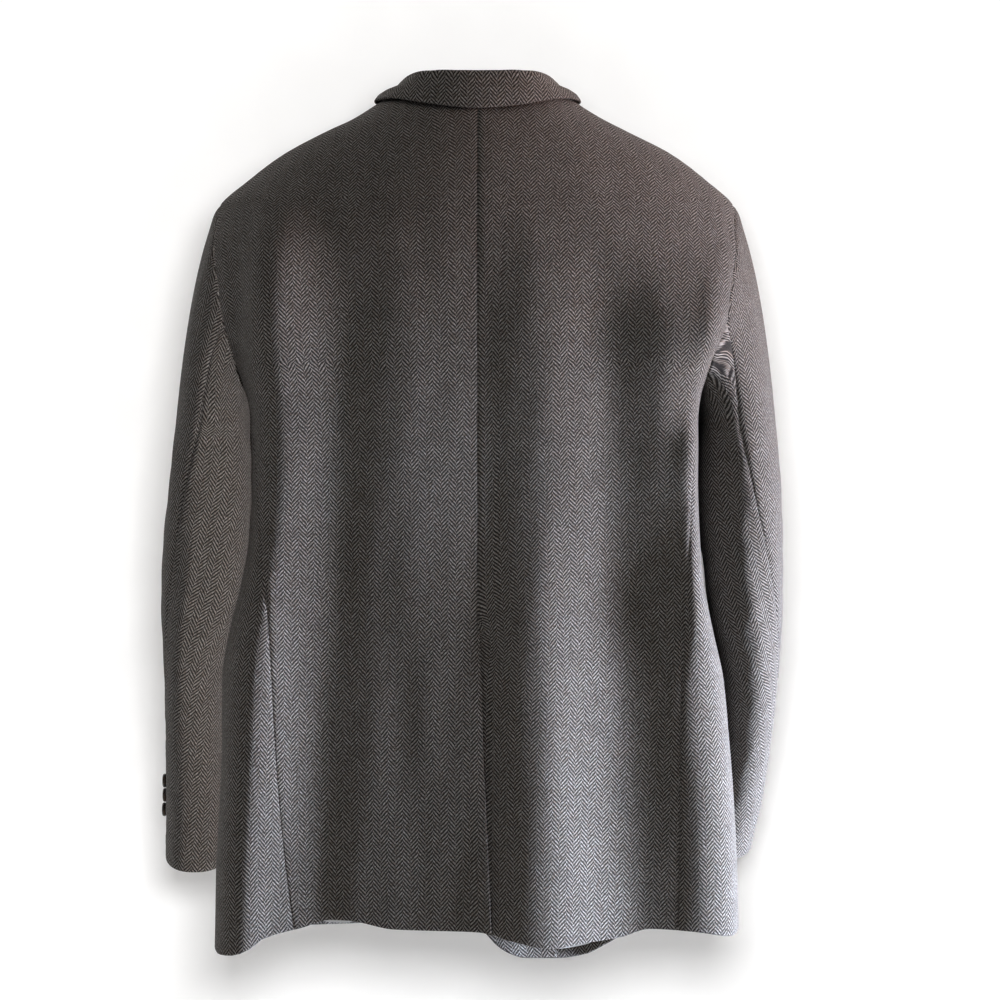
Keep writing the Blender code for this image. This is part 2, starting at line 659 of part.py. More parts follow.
def add_object(name, mesh_data, finish):
    """Object with its faces turned outwards, from a bmesh that is then freed."""
    bmesh.ops.recalc_face_normals(mesh_data, faces=mesh_data.faces)
    if mesh_data.calc_volume(signed=True) < 0:
        bmesh.ops.reverse_faces(mesh_data, faces=mesh_data.faces)
    mesh = bpy.data.meshes.new(name)
    mesh_data.to_mesh(mesh)
    mesh_data.free()
    mesh.shade_smooth()
    mesh.set_sharp_from_angle(angle=math.radians(40))
    made = bpy.data.objects.new(name, mesh)
    made.data.materials.append(material(finish))
    bpy.context.scene.collection.objects.link(made)
    return made


def cell_halves(corners, grid):
    """Two triangles of a cell, cut along the second diagonal only where it is far shorter."""
    points = [grid[row][index] for row, index in corners]
    first, second = (points[2] - points[0]).length, (points[3] - points[1]).length
    if second < first * DIAGONAL_SHARE:
        return (0, 1, 3), (1, 2, 3)
    return (0, 1, 2), (0, 2, 3)


def wall(name, outer, inner, finish):
    """Closed cloth wall between an outer and an inner grid of points."""
    shell = bmesh.new()
    rows, columns = len(outer), len(outer[0])
    layers = [[[shell.verts.new(point) for point in row] for row in grid] for grid in (outer, inner)]
    for row in range(rows - 1):
        for index in range(columns - 1):
            corners = ((row, index), (row, index + 1), (row + 1, index + 1), (row + 1, index))
            for half in cell_halves(corners, outer):
                shell.faces.new([layers[0][corners[i][0]][corners[i][1]] for i in half])
                shell.faces.new([layers[1][corners[i][0]][corners[i][1]] for i in reversed(half)])
    rim = [(0, index) for index in range(columns)]
    rim += [(row, columns - 1) for row in range(1, rows)]
    rim += [(rows - 1, index) for index in range(columns - 2, -1, -1)]
    rim += [(row, 0) for row in range(rows - 2, 0, -1)]
    for (r0, c0), (r1, c1) in zip(rim, rim[1:] + rim[:1]):
        shell.faces.new((layers[0][r1][c1], layers[0][r0][c0], layers[1][r0][c0], layers[1][r1][c1]))
    return add_object(name, shell, finish)


def body_wall(name, places, thickness, finish, gap=SEAM_GAP / 2):
    """Wall on the body's form, its outer face at the places' own lift."""
    outer = pulled_in(points_of(places), gap)
    inner = pulled_in(points_of(raised(places, -thickness)), gap)
    return wall(name, outer, inner, finish)


def build_backs():
    """The two back panels, lapped left over right below the vent's top."""
    for side in (-1, 1):
        places = back_places(side, vent_turn(side), vent_lift(side))
        body_wall("back_" + SIDE_NAMES[side], places, CLOTH, TWEED)


def build_sides():
    """The two side bodies, between the back and the front under the arm."""
    for side in (-1, 1):
        body_wall("side_" + SIDE_NAMES[side], side_places(side), CLOTH, TWEED)


def build_fronts():
    """The two fronts, closed left over right, with rounded quarters."""
    for side in (-1, 1):
        places = front_places(side, front_lift(side))
        body_wall("front_" + SIDE_NAMES[side], places, CLOTH, TWEED)


def lining_rows(places, hem_margin, sag=None):
    """The lining's rows of a panel, starting a margin above its hem."""
    rows = [places[row] for row in LINING_ROWS if row < len(places)]
    foot = []
    for place, above in zip(places[0], places[1]):
        drop = sag(place) if sag else 0.0
        turn = mix(place.turn, above.turn, LINING_FOOT_SHARE)
        foot.append(Place(turn, place.z + hem_margin - drop, place.lift))
    rows[0] = foot
    return rows


def lining_sag(place):
    """Where the left back's lining hangs a little below the raised hem."""
    x = form_point(place.turn, place.z).x
    return SAG_DEPTH * math.exp(-(((x - SAG_CENTRE) / SAG_SPREAD) ** 4))


def build_linings():
    """Linings of the backs, the side bodies and the fronts, and the tweed facings."""
    lining_lift = -CLOTH - LINING_AIR
    for side in (-1, 1):
        label = SIDE_NAMES[side]

        def centre_turn(z, side=side):
            """Centre edge of a back lining, clear of the vent's underlap on the left."""
            x = side * LINING_GAP
            if side < 0:
                x -= LAP_CLEARANCE * soft_step((VENT_TOP + VENT_BLEND - z) / LAP_CLEARANCE)
            return turn_at(x, z, side, False)

        back = back_places(side, centre_turn, vent_lift(side))
        sag = lining_sag if side < 0 else None
        lined = raised(lining_rows(back, LINING_MARGIN, sag), lining_lift)
        body_wall("back_lining_" + label, lined, LINING, LINING_CLOTH, gap=LINING_GAP)
        lined = raised(lining_rows(side_places(side), LINING_MARGIN), lining_lift)
        body_wall("side_lining_" + label, lined, LINING, LINING_CLOTH, gap=LINING_GAP)

        front = front_places(side, front_lift(side))
        facing = [row[:FACING_COLUMNS + 1] for row in front[:-1]]
        body_wall("facing_" + label, raised(facing, -CLOTH - SEAM_GAP), CLOTH, TWEED, gap=LINING_GAP)
        rest = [row[FACING_COLUMNS:] for row in front]
        lined = raised(lining_rows(rest, FRONT_LINING_MARGIN), lining_lift)
        body_wall("front_lining_" + label, lined, LINING, LINING_CLOTH, gap=LINING_GAP)


def build_lapels():
    """The lapels, folded back over the fronts along the roll line."""
    for side in (-1, 1):
        grid = []
        for step in range(LAPEL_ROWS + 1):
            at = step * (len(LAPEL) - 1) / LAPEL_ROWS
            roll_z = column(LAPEL, "roll_z", at, key="step")
            edge_x = column(LAPEL, "edge_x", at, key="step")
            edge_z = column(LAPEL, "edge_z", at, key="step")
            roll_x = column(FRONT_EDGE, "right", roll_z) + ROLL_INSET
            row = []
            for index in range(LAPEL_COLUMNS + 1):
                share = index / LAPEL_COLUMNS
                x, z = mix(roll_x, edge_x, share), mix(roll_z, edge_z, share)
                row.append(Place(turn_at(side * x, z, side, True), z, LAPEL_LIFT))
            grid.append(row)
        body_wall("lapel_" + SIDE_NAMES[side], grid, CLOTH, TWEED)


def collar_station(at, side):
    """Section of the collar at a station: up the stand, over the fold and down the leaf."""
    value = {name: column(COLLAR, name, at, key="step") for name in Station._fields}
    front = at > LAST_BACK_STATION
    neck_z, edge_z = value["neck_z"], value["edge_z"]
    edge_x = min(value["edge_x"], body_size(SIDE_NAMES[side], edge_z) * EDGE_LIMIT)
    neck = body_point(Place(turn_at(side * value["neck_x"], neck_z, side, front), neck_z, -CLOTH))
    edge = body_point(Place(turn_at(side * edge_x, edge_z, side, front), edge_z, EDGE_LIFT))
    fold = Vector((side * value["fold_x"], value["fold_y"], value["fold_z"]))
    away = Vector((edge.x - neck.x, edge.y - neck.y, 0.0)).normalized()
    drop = Vector((0.0, 0.0, FOLD_DROP))
    into = fold - away * FOLD_RADIUS - drop
    over = fold + Vector((0.0, 0.0, FOLD_RISE))
    out = fold + away * FOLD_RADIUS - drop
    leaf = []
    for share in (1 / 3, 2 / 3):
        point = mix(out, edge, share) + away * LEAF_BELLY
        point.z -= value["sag"] * (1 - abs(2 * share - 1))
        leaf.append(clear_of_form(point, LEAF_CLEARANCE))
    return [neck, (neck + into) / 2, into, over, out] + leaf + [edge]


def clear_of_form(point, least):
    """The point, pushed out where it lies less than a least height above the form."""
    reach = 0.001
    normal = form_normal(point)
    slope = (form_level(point + normal * reach) - form_level(point)) / reach
    height = (form_level(point) - 1.0) / slope
    return point + normal * max(0.0, least - height)


def grid_normals(grid):
    """Normals of a grid of points, from its neighbours."""
    rows, columns = len(grid), len(grid[0])
    normals = []
    for row in range(rows):
        line = []
        for index in range(columns):
            along = grid[min(row + 1, rows - 1)][index] - grid[max(row - 1, 0)][index]
            across = grid[row][min(index + 1, columns - 1)] - grid[row][max(index - 1, 0)]
            line.append(across.cross(along).normalized())
        normals.append(line)
    return normals


def build_collar():
    """The collar: one piece of cloth for the stand and the leaf, round the neck."""
    grid = []
    for step in range(-COLLAR_STEPS, COLLAR_STEPS + 1):
        at = abs(step) * (len(COLLAR) - 1) / COLLAR_STEPS
        grid.append(collar_station(at, -1 if step < 0 else 1))
    normals = grid_normals(grid)
    middle = grid[COLLAR_STEPS][-1]
    sign = 1.0 if normals[COLLAR_STEPS][-1].dot(Vector((middle.x, middle.y, 0.0))) > 0 else -1.0
    inner = [
        [point - normal * sign * CLOTH for point, normal in zip(line, directions)]
        for line, directions in zip(grid, normals)
    ]
    wall("collar", grid, inner, TWEED)


def sleeve_ring(angle, z, side):
    """Point of a sleeve's ring: 0 degrees is outermost, 90 at the rear, 180 by the body."""
    table = SLEEVES[side]
    size = {name: column(table, name, z) for name in ("outer", "inner", "rear", "front", "tilt")}
    radians = math.radians(angle)
    out, back = math.cos(radians), math.sin(radians)
    scale = (abs(out) ** SLEEVE_POWER + abs(back) ** SLEEVE_POWER) ** (-1.0 / SLEEVE_POWER)
    x = (size["outer"] + size["inner"]) / 2 + (size["outer"] - size["inner"]) / 2 * out * scale
    reach = -(size["front"] - size["rear"]) / 2 * back * scale
    y = (size["front"] + size["rear"]) / 2 + reach
    return Vector((side * x, y, z + size["tilt"] * reach))


def sleeve_columns():
    """Armhole angles of the sleeve's columns: the top sleeve's, then the under sleeve's."""
    seam = ARMHOLE_ANGLES[0]
    rear = list(reversed(ARMHOLE_ANGLES))
    under = [mix(seam, 360.0 - seam, index / UNDERARM_STEPS) for index in range(UNDERARM_STEPS + 1)]
    top = [-angle for angle in reversed(rear)] + rear[1:-1]
    return top, [rear[-2]] + under


def sleeve_angle(angle, z, side, is_top):
    """Angle round a lower ring of a column that starts at an armhole angle."""
    table = SLEEVES[side]
    hind_start, seam = ARMHOLE_ANGLES[1], ARMHOLE_ANGLES[0]
    hind, fore = column(table, "hind", z), column(table, "fore", z)
    if is_top:
        return mix(fore - 360.0, hind, (angle + seam) / (hind_start + seam))
    return mix(hind, fore, (angle - hind_start) / (360.0 - seam - hind_start))


def sleeve_grid(side, is_top):
    """Outer points and their normals, rows from the armhole to the cuff."""
    columns = sleeve_columns()[0 if is_top else 1]
    cuff = SLEEVES[side][0].z
    grid, normals = [], []
    for row in range(CAP_STEPS + ARM_STEPS + 1):
        points, directions = [], []
        for angle in columns:
            if row <= CAP_STEPS:
                share = row / CAP_STEPS
                start = body_point(armhole_place(angle, side)) + Vector((side * SEAM_GAP, 0, 0))
                turned = sleeve_angle(angle, BICEP, side, is_top)
                end = sleeve_ring(turned, BICEP, side)
                bend = start.lerp(end, CAP_OUT)
                bend.z = mix(start.z, end.z, CAP_DOWN)
                point = mix(mix(start, bend, share), mix(bend, end, share), share)
                radians = math.radians(angle)
                radial = Vector((0.0, -math.sin(radians), math.cos(radians)))
                ring = ring_normal(turned, BICEP, side)
                direction = (radial * (1 - share) + ring * share).normalized()
            else:
                z = mix(BICEP, cuff, (row - CAP_STEPS) / ARM_STEPS)
                turned = sleeve_angle(angle, z, side, is_top)
                point, direction = sleeve_ring(turned, z, side), ring_normal(turned, z, side)
            points.append(point)
            directions.append(direction)
        grid.append(points)
        normals.append(directions)
    return grid, normals


def ring_normal(angle, z, side):
    """Outward direction of a sleeve's ring."""
    along = sleeve_ring(angle + 2.0, z, side) - sleeve_ring(angle - 2.0, z, side)
    normal = Vector((along.y, -along.x, 0.0)).normalized()
    return normal * (-side)


def build_sleeves():
    """Top and under sleeves of both arms."""
    for side in (-1, 1):
        for is_top in (True, False):
            grid, normals = sleeve_grid(side, is_top)
            inner = [[p - n * CLOTH for p, n in zip(*pair)] for pair in zip(grid, normals)]
            name = ("top_sleeve_" if is_top else "under_sleeve_") + SIDE_NAMES[side]
            wall(name, pulled_in(grid, SEAM_GAP / 2), pulled_in(inner, SEAM_GAP / 2), TWEED)


def build_pockets():
    """Slanted hip flaps, each under its jet, on the fronts."""
    for side in (-1, 1):
        pieces = (("flap_", 0.0, -FLAP_DEPTH), ("jet_", JET_DEPTH, FLAP_JET_GAP))
        for name, top, foot in pieces:
            grid = []
            for step in range(POCKET_ROWS + 1):
                drop = mix(top, foot, step / POCKET_ROWS)
                row = []
                for index in range(POCKET_COLUMNS + 1):
                    share = index / POCKET_COLUMNS
                    x = mix(FLAP_INNER[0], FLAP_OUTER[0], share)
                    z = mix(FLAP_INNER[1], FLAP_OUTER[1], share) + drop
                    row.append(Place(turn_at(side * x, z, side, True), z, POCKET_LIFT))
                grid.append(row)
            body_wall(name + SIDE_NAMES[side], grid, CLOTH, TWEED)


def button(name, centre, axis, radius):
    """Round button with a raised rim and a dished middle, turned about its axis."""
    profile = (
        (0.0, 0.0),
        (radius * 0.80, 0.0),
        (radius, BUTTON_THICKNESS * 0.45),
        (radius * 0.93, BUTTON_THICKNESS),
        (radius * 0.70, BUTTON_THICKNESS * 0.72),
        (0.0, BUTTON_THICKNESS * 0.66),
    )
    across = axis.orthogonal().normalized()
    upward = axis.cross(across)
    disc = bmesh.new()
    base = disc.verts.new(centre)
    crown = disc.verts.new(centre + axis * profile[-1][1])
    rings = []
    for reach, height in profile[1:-1]:
        ring = []
        for index in range(BUTTON_SIDES):
            angle = 2 * math.pi * index / BUTTON_SIDES
            spoke = across * math.cos(angle) + upward * math.sin(angle)
            ring.append(disc.verts.new(centre + spoke * reach + axis * height))
        rings.append(ring)
    for index in range(BUTTON_SIDES):
        after = (index + 1) % BUTTON_SIDES
        disc.faces.new((base, rings[0][after], rings[0][index]))
        disc.faces.new((crown, rings[-1][index], rings[-1][after]))
        for low, high in zip(rings, rings[1:]):
            disc.faces.new((low[index], low[after], high[after], high[index]))
    add_object(name, disc, BUTTON)


def build_buttons():
    """Three buttons down the front and three on each cuff."""
    for number, z in enumerate(FRONT_BUTTON_HEIGHTS, start=1):
        place = Place(180.0, z, BUTTON_LIFT)
        centre = body_point(place)
        button("front_button_%d" % number, centre, form_normal(centre), FRONT_BUTTON_RADIUS)
    for side in (-1, 1):
        for number, z in enumerate(CUFF_BUTTON_HEIGHTS, start=1):
            angle = CUFF_BUTTON_ANGLE[side]
            axis = ring_normal(angle, z, side)
            centre = sleeve_ring(angle, z, side) + axis * BUTTON_LIFT
            button("cuff_button_%s_%d" % (SIDE_NAMES[side], number), centre, axis, CUFF_BUTTON_RADIUS)


def main():
    """Clears the scene and builds every piece."""
    for old in list(bpy.data.objects):
        bpy.data.objects.remove(old, do_unlink=True)
    build_backs()
    build_sides()
    build_fronts()
    build_linings()
    build_lapels()
    build_collar()
    build_sleeves()
    build_pockets()
    build_buttons()


main()
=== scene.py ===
"""Looks of a herringbone tweed hacking jacket, hollow and filled out as if worn.

Units are metres and +Z is up. The back faces -Y, the fronts face +Y and the wearer's right
is +X. The origin is the middle of the neck, level with the neck ends of the shoulder seams.

The body is one form: a ring at every height, with soft folds laid over it. A place on the
form is a turn about the vertical axis (0 at the centre back, 90 at the wearer's right side,
180 at the centre front, negative on the wearer's left), a height, and a lift along the
form's normal. Each panel is a fine grid of such places between its seams, sewn into a thin
shell with rounded edges, and flattened again to find how its weave runs.
"""

import logging
import math
from dataclasses import dataclass, field
from enum import Enum
from typing import Callable, Optional, Sequence

import bmesh
import bpy
import numpy as np
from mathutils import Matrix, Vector


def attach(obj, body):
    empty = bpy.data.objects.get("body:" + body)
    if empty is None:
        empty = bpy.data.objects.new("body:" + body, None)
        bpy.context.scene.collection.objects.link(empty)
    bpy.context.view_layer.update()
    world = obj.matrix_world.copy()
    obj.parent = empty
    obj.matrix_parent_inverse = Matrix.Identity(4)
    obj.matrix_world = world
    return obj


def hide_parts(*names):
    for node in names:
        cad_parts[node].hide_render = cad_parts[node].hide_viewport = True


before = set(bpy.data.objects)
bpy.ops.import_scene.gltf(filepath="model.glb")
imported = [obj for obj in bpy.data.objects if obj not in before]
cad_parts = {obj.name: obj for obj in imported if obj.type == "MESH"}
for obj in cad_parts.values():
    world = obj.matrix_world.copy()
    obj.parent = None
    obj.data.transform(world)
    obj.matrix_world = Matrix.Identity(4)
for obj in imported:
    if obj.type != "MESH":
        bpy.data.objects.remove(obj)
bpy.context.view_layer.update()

Array = np.ndarray
Pair = tuple[float, float]
Place = tuple[float, float, float]
Object = bpy.types.Object
Node = bpy.types.Node
Socket = bpy.types.NodeSocket
Tree = bpy.types.NodeTree
Log = logging.getLogger("jacket")

BODY = "root"


# Numbers and curves


def soft_step(value: Array) -> Array:
    """Rise smoothly from 0 to 1 as value goes from 0 to 1.

    Args:
        value: Numbers of any size.

    Returns:
        The eased numbers, each between 0 and 1.
    """
    held = np.clip(value, 0.0, 1.0)
    return held * held * (3.0 - 2.0 * held)


def mix(start: Array, end: Array, share: Array) -> Array:
    """Return the value a share of the way from start to end."""
    return start + (end - start) * share


def unit(vectors: Array) -> Array:
    """Return vectors scaled to length one, along their last axis."""
    length = np.linalg.norm(vectors, axis=-1, keepdims=True)
    return vectors / np.maximum(length, 1e-12)


def bell(distance: Array, spread: Array) -> Array:
    """Return a smooth hump of height one round a distance of zero."""
    return np.exp(-((distance / spread) ** 2))


class SmoothCurve:
    """A curve through a few rows that never overshoots them."""

    def __init__(self, knots: Sequence[float], values: Sequence[float]) -> None:
        """Keep the rows and work out the slope at each.

        Args:
            knots: Where the rows are, rising.
            values: The curve's value at each row.
        """
        self.knots = np.asarray(knots, dtype=float)
        self.values = np.asarray(values, dtype=float)
        steps = np.diff(self.values) / np.diff(self.knots)
        slopes = np.empty(len(self.knots))
        slopes[0], slopes[-1] = steps[0], steps[-1]
        product = steps[:-1] * steps[1:]
        total = np.where(product > 0, steps[:-1] + steps[1:], 1.0)
        slopes[1:-1] = np.where(product > 0, 2 * product / total, 0.0)
        self.slopes = slopes

    def __call__(self, at: Array) -> Array:
        """Read the curve.

        Args:
            at: Where to read it; outside the rows it keeps the end values.

        Returns:
            The curve's values.
        """
        held = np.clip(np.asarray(at, dtype=float), self.knots[0], self.knots[-1])
        low = np.clip(np.searchsorted(self.knots, held, side="right") - 1, 0, len(self.knots) - 2)
        width = self.knots[low + 1] - self.knots[low]
        t = (held - self.knots[low]) / width
        start = self.values[low] * (1 + 2 * t) * (1 - t) ** 2 + width * self.slopes[low] * t * (1 - t) ** 2
        end = self.values[low + 1] * t * t * (3 - 2 * t) + width * self.slopes[low + 1] * t * t * (t - 1)
        return start + end


def curves_of(rows: Sequence[object], key: str, names: Sequence[str]) -> dict[str, SmoothCurve]:
    """Make one curve for each named column of a table.

    Args:
        rows: The table's rows, in the order of their keys.
        key: The column that the curves run along.
        names: The columns to make curves of.

    Returns:
        A curve for each name.
    """
    knots = [getattr(row, key) for row in rows]
    return {name: SmoothCurve(knots, [getattr(row, name) for row in rows]) for name in names}


def table(kind: type, *rows: tuple) -> tuple:
    """Make a table of one kind of row from plain values."""
    return tuple(kind(*row) for row in rows)


class Side(Enum):
    """The wearer's left or right."""

    LEFT = -1
    RIGHT = 1

    @property
    def sign(self) -> int:
        """Return -1 on the wearer's left and 1 on the right."""
        return self.value

    @property
    def label(self) -> str:
        """Return the word that ends the names of this side's pieces."""
        return self.name.lower()


# The body's form


@dataclass(frozen=True)
class Ring:
    """A level ring of the body: half-widths, reach behind and in front, and squareness."""

    z: float
    left: float
    right: float
    back: float
    front: float
    power: float


@dataclass(frozen=True)
class Fold:
    """A long soft fold, each size given at its top and its foot; left and right are its spreads."""

    behind: bool
    z: Pair
    x: Pair
    left: Pair
    right: Pair
    height: Pair
    fade_top: float = 0.14
    fade_foot: float = 0.0

    def rise(self, x: Array, z: Array) -> Array:
        """Return the fold's height at distances across and heights."""
        top, foot = self.z
        share = np.clip((top - z) / (top - foot), 0.0, 1.0)
        apart = x - mix(*self.x, share)
        hump = bell(apart, np.where(apart < 0.0, mix(*self.left, share), mix(*self.right, share)))
        fading = soft_step((top - z) / self.fade_top)
        if self.fade_foot > 0.0:
            fading = fading * soft_step((z - foot) / self.fade_foot)
        return mix(*self.height, share) * hump * fading


@dataclass(frozen=True)
class SeamPoint:
    """Distance across of a seam or an edge on each side, at a height."""

    z: float
    left: float
    right: float


RINGS = table(
    Ring,
    (-0.84, 0.252, 0.25, 0.127, 0.106, 7.0), (-0.78, 0.2505, 0.2485, 0.127, 0.106, 7.0),
    (-0.72, 0.2497, 0.247, 0.126, 0.106, 7.0), (-0.66, 0.2463, 0.244, 0.124, 0.106, 7.0),
    (-0.6, 0.2447, 0.2395, 0.12, 0.105, 6.5), (-0.545, 0.245, 0.2345, 0.116, 0.104, 6.0),
    (-0.5, 0.2385, 0.2245, 0.113, 0.104, 5.5), (-0.45, 0.2265, 0.2145, 0.111, 0.104, 5.2),
    (-0.4, 0.2185, 0.211, 0.113, 0.106, 5.0), (-0.35, 0.2165, 0.2095, 0.119, 0.11, 5.0),
    (-0.3, 0.218, 0.2095, 0.126, 0.114, 4.8), (-0.275, 0.2225, 0.2125, 0.129, 0.115, 4.6),
    (-0.244, 0.2346, 0.2235, 0.132, 0.116, 4.3), (-0.208, 0.25, 0.2432, 0.133, 0.115, 3.9),
    (-0.18, 0.2601, 0.252, 0.131, 0.113, 3.4), (-0.1366, 0.2674, 0.26, 0.125, 0.107, 2.8),
    (-0.105, 0.2587, 0.2545, 0.117, 0.099, 2.4), (-0.088, 0.25, 0.2465, 0.112, 0.094, 2.3),
    (-0.0652, 0.2239, 0.2215, 0.104, 0.086, 2.2), (-0.0392, 0.1889, 0.187, 0.092, 0.074, 2.2),
    (-0.0164, 0.1456, 0.142, 0.079, 0.059, 2.4), (-0.0067, 0.1239, 0.1225, 0.073, 0.052, 2.6),
    (0.0093, 0.0985, 0.0965, 0.06, 0.037, 2.6), (0.018, 0.0853, 0.0845, 0.047, 0.028, 2.6),
)

FOLDS = table(
    Fold,
    (True, (-0.02, -0.84), (-0.196, -0.238), (0.022, 0.028), (0.04, 0.042), (0.018, 0.0235), 0.12),
    (True, (-0.12, -0.5), (-0.227, -0.227), (0.011, 0.011), (0.012, 0.012), (-0.011, -0.011), 0.08, 0.12),
    (True, (-0.1, -0.84), (-0.112, -0.16), (0.024, 0.034), (0.03, 0.036), (-0.005, -0.005)),
    (True, (-0.08, -0.84), (-0.052, -0.046), (0.024, 0.03), (0.02, 0.034), (0.0009, 0.0003)),
    (True, (-0.1, -0.84), (0.006, 0.014), (0.018, 0.03), (0.018, 0.022), (-0.0026, -0.001)),
    (True, (-0.08, -0.84), (0.054, 0.063), (0.032, 0.05), (0.03, 0.046), (0.0036, 0.005)),
    (True, (-0.34, -0.84), (0.058, 0.063), (0.1, 0.13), (0.044, 0.046), (0.006, 0.0175), 0.16),
    (True, (-0.1, -0.84), (0.118, 0.16), (0.028, 0.034), (0.032, 0.034), (-0.005, -0.004)),
    (True, (-0.1, -0.84), (0.21, 0.242), (0.054, 0.042), (0.022, 0.028), (0.022, 0.0125)),
    (True, (-0.1, -0.36), (0.246, 0.216), (0.022, 0.022), (0.022, 0.022), (0.02, 0.02), 0.08, 0.08),
    (True, (-0.26, -0.56), (0.219, 0.219), (0.024, 0.024), (0.022, 0.022), (0.026, 0.026), 0.08, 0.12),
    (False, (-0.14, -0.8), (-0.15, -0.165), (0.028, 0.03), (0.028, 0.03), (-0.005, -0.005)),
    (False, (-0.3, -0.8), (-0.095, -0.09), (0.026, 0.03), (0.026, 0.03), (0.004, 0.005)),
    (False, (-0.14, -0.8), (0.14, 0.15), (0.028, 0.03), (0.028, 0.03), (-0.005, -0.005)),
    (False, (-0.3, -0.8), (0.09, 0.095), (0.026, 0.03), (0.026, 0.03), (0.004, 0.005)),
)


@dataclass
class BodyForm:
    """The body's rings and folds, and every place on them."""

    rings: tuple[Ring, ...] = RINGS
    folds: tuple[Fold, ...] = FOLDS
    table_step: float = 0.002
    fold_clear: float = 0.06
    flank_rise: float = 0.016
    front_power: float = 2.6

    def __post_init__(self) -> None:
        """Read the rings' curves once, at closely spaced heights."""
        self.heights = np.arange(self.rings[0].z, self.rings[-1].z + self.table_step, self.table_step)
        names = ("left", "right", "back", "front", "power")
        curves = curves_of(self.rings, "z", names)
        self.tables = {name: curves[name](self.heights) for name in names}

    def size(self, name: str, z: Array) -> Array:
        """Return a size of the ring at a height."""
        return np.interp(z, self.heights, self.tables[name])

    def width(self, right: Array, z: Array) -> Array:
        """Return the half-width on the wearer's right where right is true, or on the left."""
        return np.where(right, self.size("right", z), self.size("left", z))

    def depth(self, front: Array, z: Array) -> Array:
        """Return the reach in front where front is true, or behind."""
        return np.where(front, self.size("front", z), self.size("back", z))

    def power(self, front: Array, z: Array) -> Array:
        """Return the squareness of the ring, whose front is rounder than its back."""
        power = self.size("power", z)
        return np.where(front, np.minimum(power, self.front_power), power)

    def point(self, turn: Array, z: Array) -> Array:
        """Find points of the plain form, with no folds.

        Args:
            turn: Turns about the vertical axis, in degrees.
            z: Heights.

        Returns:
            Points, with three numbers along the last axis.
        """
        turn, z = np.broadcast_arrays(np.asarray(turn, float), np.asarray(z, float))
        across, ahead = np.sin(np.radians(turn)), -np.cos(np.radians(turn))
        power = self.power(ahead > 0, z)
        scale = (np.abs(across) ** power + np.abs(ahead) ** power) ** (-1.0 / power)
        x = self.width(across > 0, z) * across * scale
        y = self.depth(ahead > 0, z) * ahead * scale
        return np.stack([x, y, z], axis=-1)

    def level(self, points: Array) -> Array:
        """Return a number below 1 inside the form and above 1 outside it."""
        x, y, z = points[..., 0], points[..., 1], points[..., 2]
        power = self.power(y > 0, z)
        across = (np.abs(x) / self.width(x > 0, z)) ** power
        return across + (np.abs(y) / self.depth(y > 0, z)) ** power

    def normal(self, points: Array) -> Array:
        """Return the outward directions of the form at points on it."""
        reach = self.table_step
        slopes = []
        for axis in np.eye(3) * reach:
            slopes.append(self.level(points + axis) - self.level(points - axis))
        return unit(np.stack(slopes, axis=-1))

    def turn_at(self, x: Array, z: Array, side: Side, front: bool) -> Array:
        """Find the turn of the form's point at a distance to the wearer's right.

        Args:
            x: Distances across, positive to the wearer's right.
            z: Heights.
            side: The side whose width is used.
            front: Whether the point lies in front or behind.

        Returns:
            Turns in degrees.
        """
        own = np.asarray(x, float) * side.sign
        power = self.power(front, z)
        share = np.minimum(np.abs(own) / self.size(side.label, z), 0.9999) ** power
        angle = np.degrees(np.arctan((share / (1 - share)) ** (1 / power)))
        angle = np.copysign(angle, own)
        return side.sign * (180.0 - angle if front else angle)

    def relief(self, points: Array) -> Array:
        """Return the height of the folds at points of the plain form."""
        x, y, z = points[..., 0], points[..., 1], points[..., 2]
        fade = soft_step(np.abs(y) / self.fold_clear)
        total = np.zeros(x.shape)
        for fold in self.folds:
            total += np.where((y < 0) == fold.behind, fold.rise(x, z), 0.0)
        return total * fade + self.unevenness(points)

    def flank(self, points: Array) -> Array:
        """Return how far the sides swell forward of the arms, so that no light shows past them."""
        x, y, z = points[..., 0], points[..., 1], points[..., 2]
        level = soft_step((-0.25 - z) / 0.05) * soft_step((z + 0.47) / 0.08)
        return self.flank_rise * level * bell(y - 0.036, 0.022) * soft_step((np.abs(x) - 0.14) / 0.04)

    def unevenness(self, points: Array) -> Array:
        """Return the slight waviness that woollen cloth keeps even where it hangs smooth."""
        x, y, z = points[..., 0], points[..., 1], points[..., 2]
        around = x + 0.7 * y
        slow = np.sin(around * 71.0 + z * 5.0) * np.sin(z * 9.0 + x * 4.0 + 0.8)
        quick = np.sin(around * 151.0 - z * 12.0 + 2.1) * np.sin(z * 21.0 + 1.3)
        return 0.0004 * slow + 0.0002 * quick

    def place(self, turn: Array, z: Array, lift: Array) -> tuple[Array, Array]:
        """Find places on the body, folds included.

        Args:
            turn: Turns about the vertical axis, in degrees.
            z: Heights.
            lift: Distances out along the form's normal.

        Returns:
            The points and the form's outward directions there.
        """
        points = self.point(turn, z)
        normals = self.normal(points)
        raised = self.flank(points) + lift
        folded = np.where(points[..., 1:2] > 0, normals, np.array([0.0, -1.0, 0.0]))
        return points + normals * raised[..., None] + folded * self.relief(points)[..., None], normals


